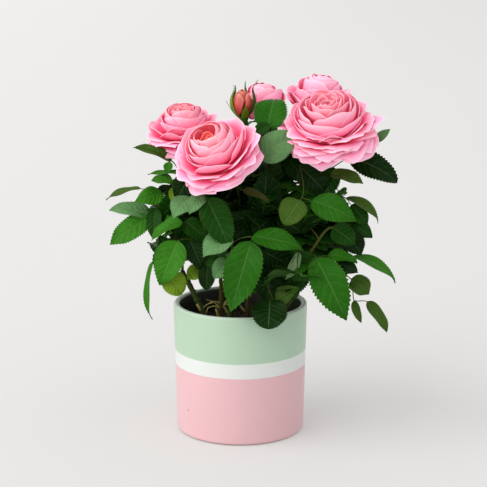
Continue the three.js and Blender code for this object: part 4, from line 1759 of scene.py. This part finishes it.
# ---- Studio ----
@dataclass
class Studio:
    """Pale floor swept up into a wall, soft light from the left and front, and the camera."""

    elevation: float = math.radians(12.6)
    distance: float = 1.5
    aim: Triple = (3.1 * MM, 0.0, 184 * MM)
    lens: float = 114.9
    sensor: float = 36.0
    floor_side: float = 24.0
    wall: float = 6.0
    sweep: float = 3.0
    sun_away: Triple = (-0.95, -0.52, 0.74)
    sun_power: float = 1.95
    sun_spread: float = math.radians(72)
    sun_colour: Triple = (1.0, 0.99, 0.975)
    sky_colour: Triple = (0.93, 0.94, 0.95)
    sky_power: float = 0.97
    finish: FloorFinish = field(default_factory=FloorFinish)

    def build(self) -> None:
        """Makes the floor, lights and camera."""
        self.floor()
        self.sun()
        world = bpy.data.worlds.new("pale room")
        world.use_nodes = True
        background = world.node_tree.nodes["Background"]
        background.inputs["Color"].default_value = (*self.sky_colour, 1)
        background.inputs["Strength"].default_value = self.sky_power
        bpy.context.scene.world = world
        bpy.context.scene.view_settings.view_transform = "Standard"
        self.camera()

    def floor(self) -> None:
        """Models the floor and the wall behind as one swept sheet."""
        bpy.ops.object.select_all(action="DESELECT")
        bpy.ops.mesh.primitive_plane_add(size=self.floor_side, location=(0, 0, 0))
        floor = bpy.context.active_object
        floor.name = floor.data.name = "floor"
        apply_place(floor)
        back = self.floor_side / 2 - CLOSE
        pick_parts(floor, "EDGE", lambda a, b: a.y > back and b.y > back)
        bpy.ops.mesh.extrude_region_move(TRANSFORM_OT_translate={"value": (0, 0, self.wall)})
        pick_parts(floor, "EDGE", lambda a, b: a.y > back and b.y > back and abs(a.z) + abs(b.z) < MM)
        bpy.ops.mesh.bevel(offset=self.sweep, segments=16, affect="EDGES")
        bpy.ops.object.mode_set(mode="OBJECT")
        smooth_shade(floor)
        floor.data.materials.append(self.finish.material())
        floor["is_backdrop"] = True

    def sun(self) -> None:
        """Adds one soft distant light."""
        data = bpy.data.lights.new("key", "SUN")
        data.energy, data.angle, data.color = self.sun_power, self.sun_spread, self.sun_colour
        lamp = bpy.data.objects.new("key", data)
        lamp.rotation_euler = Vector(self.sun_away).to_track_quat("Z", "Y").to_euler()
        bpy.context.scene.collection.objects.link(lamp)

    def camera(self) -> None:
        """Adds the camera and makes it the scene's."""
        data = bpy.data.cameras.new("camera")
        data.lens, data.sensor_width = self.lens, self.sensor
        camera = bpy.data.objects.new("camera", data)
        back = Vector((0, -math.cos(self.elevation), math.sin(self.elevation)))
        camera.location = Vector(self.aim) + back * self.distance
        camera.rotation_euler = (math.pi / 2 - self.elevation, 0, 0)
        bpy.context.scene.collection.objects.link(camera)
        bpy.context.scene.camera = camera


# ---- The plant's own plan ----
# Bark tone and girth of each cane, then the bark tone of each flower stalk.
CANES = {
    "cane_left": (0.0, 1.0),
    "cane_front": (0.75, 0.72),
    "cane_middle": (0.25, 0.8),
    "cane_back": (0.75, 0.9),
    "cane_right": (0.1, 0.85),
    "cane_low_right": (0.05, 0.6),
}
STALKS = {
    "stalk_front_bloom": 0.25,
    "stalk_left_bloom": 0.25,
    "stalk_right_bloom": 0.0,
    "stalk_back_bloom": 0.25,
    "stalk_middle_bloom": 0.25,
    "stalk_bud": 0.0,
}


def guard(
    azimuth: float, lip: Pair, rise: float, fall: float, width: float, peak: float, roll: float
) -> Petal:
    """Writes one flat outer petal short."""
    return Petal(azimuth, lip, rise, fall, width, flat=0.9, peak=peak, ruffle=1.2, roll=roll)


BLOOMS = [
    Bloom(
        "bloom_front", (-0.34, -0.50, 0.79), radius=40, drop=17, globe=(25, 39), low=6, counts=(7, 19, 21),
        lean=(86, -28), past=22, mouth=(21, 82), core=(0.3, 8.0, 0.0), point=(0.5, 4), roll=4.4,
        seed=3, twist=20, shift=(-4, 0, 1),
        guards=(guard(-6, (41, 18), 0, 34, 34, 7.0, 2.0), guard(-32, (41, 12), 0, 10, 32, 6.0, 2.5)),
    ),
    Bloom(
        "bloom_left", (-0.12, -0.20, 0.97), radius=37, drop=17, globe=(23, 34), low=2, counts=(12, 12, 28),
        lean=(84, -44), opening=0.8, broad=(0.8, 1.15), past=22, mouth=(34, 82), roll=3.6, warm=(0.7, 1.0),
        core=(0.56, 4.0, 0.5), point=(0.5, 3.5), seed=8, twist=75, shift=(-1, 0, 5),
    ),
    Bloom(
        "bloom_right", (-0.14, -0.42, 0.90), radius=45, drop=11, globe=(32, 43), low=1, counts=(20, 14, 52),
        lean=(76, -56), opening=0.55, broad=(0.6, 0.9), past=18, mouth=(42, 84), warm=(0.8, 1.0),
        core=(0.66, 4.0, 0.75), point=(0.5, 5), roll=3.4, seed=15, twist=140, shift=(-3, 0, 0),
        guards=(
            guard(-10, (47, 17), -10, 12, 30, 8.0, 2.0),
            guard(176, (45, 17), -10, 10, 26, 8.0, 2.0),
            guard(318, (44, 2), -20, -40, 30, 7.0, 2.5),
        ),
    ),
    Bloom(
        "bloom_back", (0.10, -0.12, 1.0), radius=30, drop=19, globe=(23, 37), low=16, counts=(4, 14, 11),
        lean=(88, 20), past=0, mouth=(8, 74), warm=(0.8, 1.0), core=(0.3, 6.0, 0.6), point=(0.5, 3),
        seed=21, twist=10, shift=(3, 0, 2),
    ),
    Bloom(
        "bloom_middle", (-0.1, -0.1, 1.0), radius=22, drop=16, globe=(19, 33), low=18, counts=(4, 12, 6),
        lean=(100, 62), opening=0.9, broad=(1.6, 1.7), past=0, mouth=(8, 66), warm=(0.8, 1.0),
        core=(0.3, 6.0, 0.6), point=(0.5, 3), roll=1.8, seed=34, twist=200, shift=(-7, 0, -1),
    ),
]
# The petal ramps run from deep at the foot to pale at the lip: partly the petals' own colour, partly painted
# shade deep in the bloom and painted highlight on the lips. The bud's ramps do the same.
PETAL_BACK = PetalFinish(
    "petal back",
    ((0.0, (232, 40, 40)), (0.5, (252, 96, 84)), (0.85, (255, 156, 150)), (1.0, (255, 192, 190))),
    ((0.0, (246, 104, 150)), (0.45, (255, 152, 190)), (0.8, (255, 184, 212)), (1.0, (255, 208, 226))),
)
PETAL_FACE = PetalFinish(
    "petal face",
    ((0.0, (224, 24, 14)), (0.5, (246, 60, 42)), (0.85, (255, 132, 118)), (1.0, (255, 186, 180))),
    (
        (0.0, (230, 26, 88)),
        (0.4, (248, 82, 138)),
        (0.7, (255, 146, 188)),
        (0.93, (255, 196, 220)),
        (1.0, (255, 218, 232)),
    ),
)
BUD_FINISH = PetalFinish(
    "bud petal",
    ((0.0, (100, 18, 12)), (0.5, (160, 46, 34)), (0.85, (194, 86, 68)), (1.0, (222, 136, 116))),
    ((0.0, (118, 26, 26)), (0.5, (184, 72, 66)), (0.85, (208, 108, 96)), (1.0, (230, 154, 142))),
    painted_glow=0.0,
)


def leaf(foot: Vec, tip: Vec, width: float, face: Vec, tone: Tone = Tone.MID, **carriage: float) -> Leaflet:
    """Writes one leaflet short."""
    return Leaflet(tuple(foot), tuple(tip), width, tuple(face), tone, **carriage)


# In these tables the darkest tone paints shade on leaflets deep in the crown or under the blooms, and the
# sheen tone paints a reflection on glossy ones.
LEFT_SPRAYS = {
    "spray_left_crest": [
        leaf((10, -4, 7), (-26, -10, 21), 18, (-3, -5, 8), Tone.OLIVE, fold=38, arch=0.05),
        leaf((8, -12, 7), (7, -16, -4), 9, (-2, -9, 2), Tone.BRIGHT),
        leaf((20, -16, -3), (-12, -16, -4), 12, (0, -2, 9), Tone.BRIGHT, arch=0.03),
        leaf((12, -22, -9), (-8, -28, -8), 16, (0, -4, 8), Tone.BRIGHT, arch=0.04),
    ],
    "spray_left_upper": [
        leaf((28, -10, 11), (2, -22, 6), 19, (-1, -8, 4), Tone.BRIGHT, arch=0.06),
        leaf((16, -4, -10), (-24, -10, -4), 18, (-1, -6, 7), Tone.SHEEN, arch=0.1, fold=12),
        leaf((6, 0, 14), (-28, 4, 3), 13, (0, -3, 9), Tone.OLIVE, arch=0.05, fold=26),
    ],
    "spray_left_middle": [
        leaf((8, 1, 12), (-29, -9, -12), 24, (-2, -8, 4), Tone.BRIGHT, arch=0.05, fold=10),
        leaf((15, -3, 22), (13, -13, -6), 16, (-2, -9, 2), Tone.DEEP, fold=20),
    ],
    "foliage_left_lower": [
        leaf((6, -8, 43), (-24, -6, 26), 20, (-1, -4, 8), Tone.BRIGHT, arch=0.08, fold=30),
        leaf((2, -14, 27), (-15, -22, -14), 31, (-2, -9, 2), Tone.BRIGHT, arch=0.05, fold=16),
        leaf((-10, -10, -6), (6, -16, -24), 24, (0, -8, 5), Tone.LIME, arch=0.12, blunt=0.7),
    ],
    "spray_left_hanging": [leaf((2, 0, 30), (-1, -2, -28), 11, (-7, -5, 1), Tone.BRIGHT, fold=22)],
    "foliage_left_core": [
        leaf((5, -49, 24), (-11, -61, 6), 21, (-2, -7, 6), Tone.SHEEN, arch=0.12),
        leaf((18, -53, 27), (4, -65, 11), 16, (-1, -7, 6), Tone.SHEEN, arch=0.12),
        leaf((7, -39, 39), (-6, -45, 22), 22, (0, -8, 2), Tone.SHADE),
        leaf((-12, -29, 29), (-13, -33, 16), 7, (0, -9, 2), Tone.LIME),
        leaf((7, -39, 46), (-8, -47, 21), 22, (0, -8, 2), Tone.SHADE, blunt=0.4),
        leaf((0, -40, -1), (19, -46, -17), 20, (1, -8, 4), Tone.DEEP),
    ],
}
FRONT_SPRAYS = {
    "foliage_front_upper": [
        leaf((-4, -4, 19), (17, -16, -25), 30, (1, -9, 3), Tone.DEEP, fold=14, arch=0.04),
        leaf((18, -6, -17), (-9, -18, -33), 24, (-1, -7, 7), Tone.SHEEN, arch=0.14),
        leaf((29, 2, 26), (54, -4, 16), 10, (1, -5, 7), Tone.BRONZE),
    ],
    "foliage_front_lower": [
        leaf((11, -2, -1), (-3, -10, -16), 19, (0, -8, 4), Tone.SHEEN, arch=0.1),
        leaf((-9, 6, -6), (-10, 0, -30), 17, (0, -9, 2), Tone.SHADE, blunt=0.4),
        leaf((-2, 14, 9), (1, 8, -19), 20, (0, -9, 2), Tone.DEEP, blunt=0.3),
        leaf((-13, 10, 9), (-12, 6, -15), 22, (0, -9, 2), Tone.DEEP, blunt=0.4),
        leaf((-25, 8, 16), (-14, 2, -9), 20, (1, -9, 1), Tone.SHADE),
        leaf((-16, 16, -12), (-28, 12, -22), 16, (0, -8, 5), Tone.LIME),
    ],
    "spray_front_hanging": [
        leaf((9, 2, 29), (-10, -18, -33), 35, (0, -9, 3), Tone.MID, fold=12, arch=0.05),
        leaf((10, 4, 33), (58, -6, 23), 25, (1, -6, 7), Tone.MID, fold=10, arch=0.08),
    ],
    "foliage_heart": [
        leaf((52, -12, 38), (76, -18, 14), 27, (0, -8, 3), Tone.SHADE, blunt=0.3),
        leaf((85, -10, 36), (67, -14, 8), 25, (0, -8, 3), Tone.DEEP, blunt=0.3),
    ],
    "foliage_front_right": [
        leaf((22, 2, 47), (7, -10, 26), 27, (-1, -8, 5), Tone.OLIVE, arch=0.06, blunt=0.3),
        leaf((-3, 26, -3), (-8, 10, -54), 37, (0, -9, 1), Tone.SHADE, blunt=0.3),
        leaf((27, 24, -13), (10, 14, -51), 28, (0, -9, 2), Tone.DEEP),
        leaf((37, 4, -7), (15, -2, -29), 28, (-1, -9, 2), Tone.DEEP),
        leaf((21, -2, -2), (9, -8, -27), 12, (6, 7, 1), Tone.SHEEN),
    ],
    "spray_over_rim": [
        leaf((-8, 3, 9), (-10, -17, -14), 34, (0, -9, 4), Tone.SHADE, arch=0.12, fold=8, blunt=0.8),
        leaf((-2, 19, 3), (19, 13, 18), 18, (0, -7, 6), Tone.OLIVE, arch=0.1),
    ],
}
RIGHT_SPRAYS = {
    "foliage_right_upper": [
        leaf((-7, -11, 7), (34, -23, -10), 27, (1, -8, 5), Tone.MID, fold=8, arch=0.08),
        leaf((13, 23, 27), (43, 17, 18), 15, (1, -6, 6), Tone.OLIVE, fold=20),
        leaf((13, 19, 26), (42, 5, 21), 17, (2, -6, 6), Tone.OLIVE, fold=26),
    ],
    "spray_right_far": [leaf((-18, -7, 14), (15, -13, -9), 15, (3, -5, 7), Tone.OLIVE, arch=0.14, fold=24)],
    "spray_right_crest": [
        leaf((-14, -18, 12), (33, -26, -11), 25, (2, -8, 3), Tone.SHADE, arch=0.2, fold=10),
        leaf((9, -12, 28), (23, -16, 40), 9, (2, -8, 4), Tone.SHEEN),
    ],
    "spray_right_middle": [leaf((-19, -7, 5), (24, -13, -19), 16, (2, -4, 7), Tone.BRIGHT, arch=0.12)],
    "spray_right_front": [
        leaf((-14, -11, 30), (14, -27, -26), 35, (1, -9, 2), Tone.MID, fold=12, arch=0.05),
        leaf((-3, -3, 30), (25, -11, 26), 16, (1, -5, 8), Tone.MID, arch=0.1),
        leaf((5, 11, 20), (26, 5, 14), 18, (1, -8, 3), Tone.DEEP),
        leaf((5, -3, 23), (26, -7, 15), 14, (1, -7, 5), Tone.SHADE),
    ],
    "foliage_low_right": [leaf((7, 4, 0), (-11, -2, -14), 19, (0, -7, 5), Tone.OLIVE, blunt=0.4)],
    "spray_right_hanging": [
        leaf((-9, -7, 17), (8, -13, 4), 22, (1, -7, 5), Tone.OLIVE),
        leaf((7, 1, -7), (27, -5, -36), 14, (2, -6, 5), Tone.OLIVE, arch=0.08),
        leaf((-6, -3, -5), (1, -7, -26), 9, (-3, -7, 2), Tone.OLIVE),
    ],
    "foliage_right_core": [
        leaf((16, -35, 5), (37, -41, -10), 22, (1, -8, 3), Tone.DEEP),
        leaf((35, -17, -3), (14, -25, -9), 24, (0, -8, 4), Tone.SHADE, blunt=0.4),
        leaf((35, -7, 21), (50, -13, 2), 18, (1, -8, 3), Tone.DEEP),
        leaf((29, -15, -3), (45, -21, -25), 22, (1, -8, 3), Tone.SHADE),
        leaf((36, -9, 3), (55, -15, -9), 17, (1, -8, 4), Tone.DEEP),
    ],
}
TOP_SPRAYS = {
    "foliage_top": [
        leaf((-7, -17, 9), (1, 6, 36), 32, (0, -8, 5), Tone.MID, fold=14, arch=0.12, blunt=0.6),
        leaf((-4, -20, 15), (-21, -26, 3), 13, (-2, -8, 5), Tone.DEEP, fold=24),
        leaf((-12, -28, -15), (22, -28, 9), 29, (1, -8, 4), Tone.SHEEN, fold=10, arch=0.1),
    ],
}
BACK_PARTS = ("left", "middle", "right")
# The masses' fill leaves lean on the painted-shade tone where they lie inside the crown.
CROWNS = [
    Crown("leaves_left", LEFT_SPRAYS, {"foliage_left_core": 17}),
    Crown("leaves_front", FRONT_SPRAYS, {"foliage_heart": 28}, (Tone.SHADE, Tone.DEEP, Tone.SHADE)),
    Crown(
        "leaves_right",
        RIGHT_SPRAYS,
        {"foliage_right_core": 24, "foliage_low_right": 10},
        (Tone.SHADE, Tone.DEEP, Tone.DEEP, Tone.MID),
    ),
    Crown("leaves_top", TOP_SPRAYS, {"foliage_back_top": 13}),
    Crown(
        "leaves_back",
        {},
        {f"{kind}_back_{part}": n for kind, n in (("foliage", 18), ("spray", 4)) for part in BACK_PARTS},
    ),
]


def main() -> None:
    """Builds the pot, the compost, the plant and the studio, in that order."""
    logging.basicConfig(level=logging.INFO, format="%(name)s: %(message)s")
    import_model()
    cad_box = [list(corner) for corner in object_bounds()]
    Pot().build()
    Compost().build()
    growth = Growth()
    limbs = Limbs(CANES, STALKS)
    limbs.start(growth)
    Foliage(CROWNS, [bloom.node for bloom in BLOOMS] + ["bud"], cad_box, growth).build()
    green = MeshBuffer()
    petal_skins = [PETAL_BACK.material(), PETAL_FACE.material()]
    for bloom in BLOOMS:
        bloom.build(petal_skins, green)
    Bud().build(BUD_FINISH.material(), green)
    calyxes = green.piece("calyxes_and_sepals", [LeafFinish(side).material() for side in LeafSide], "leaf")
    hand_over(calyxes, [])
    limbs.build(growth)
    Studio().build()


if __name__ == "__main__":
    main()
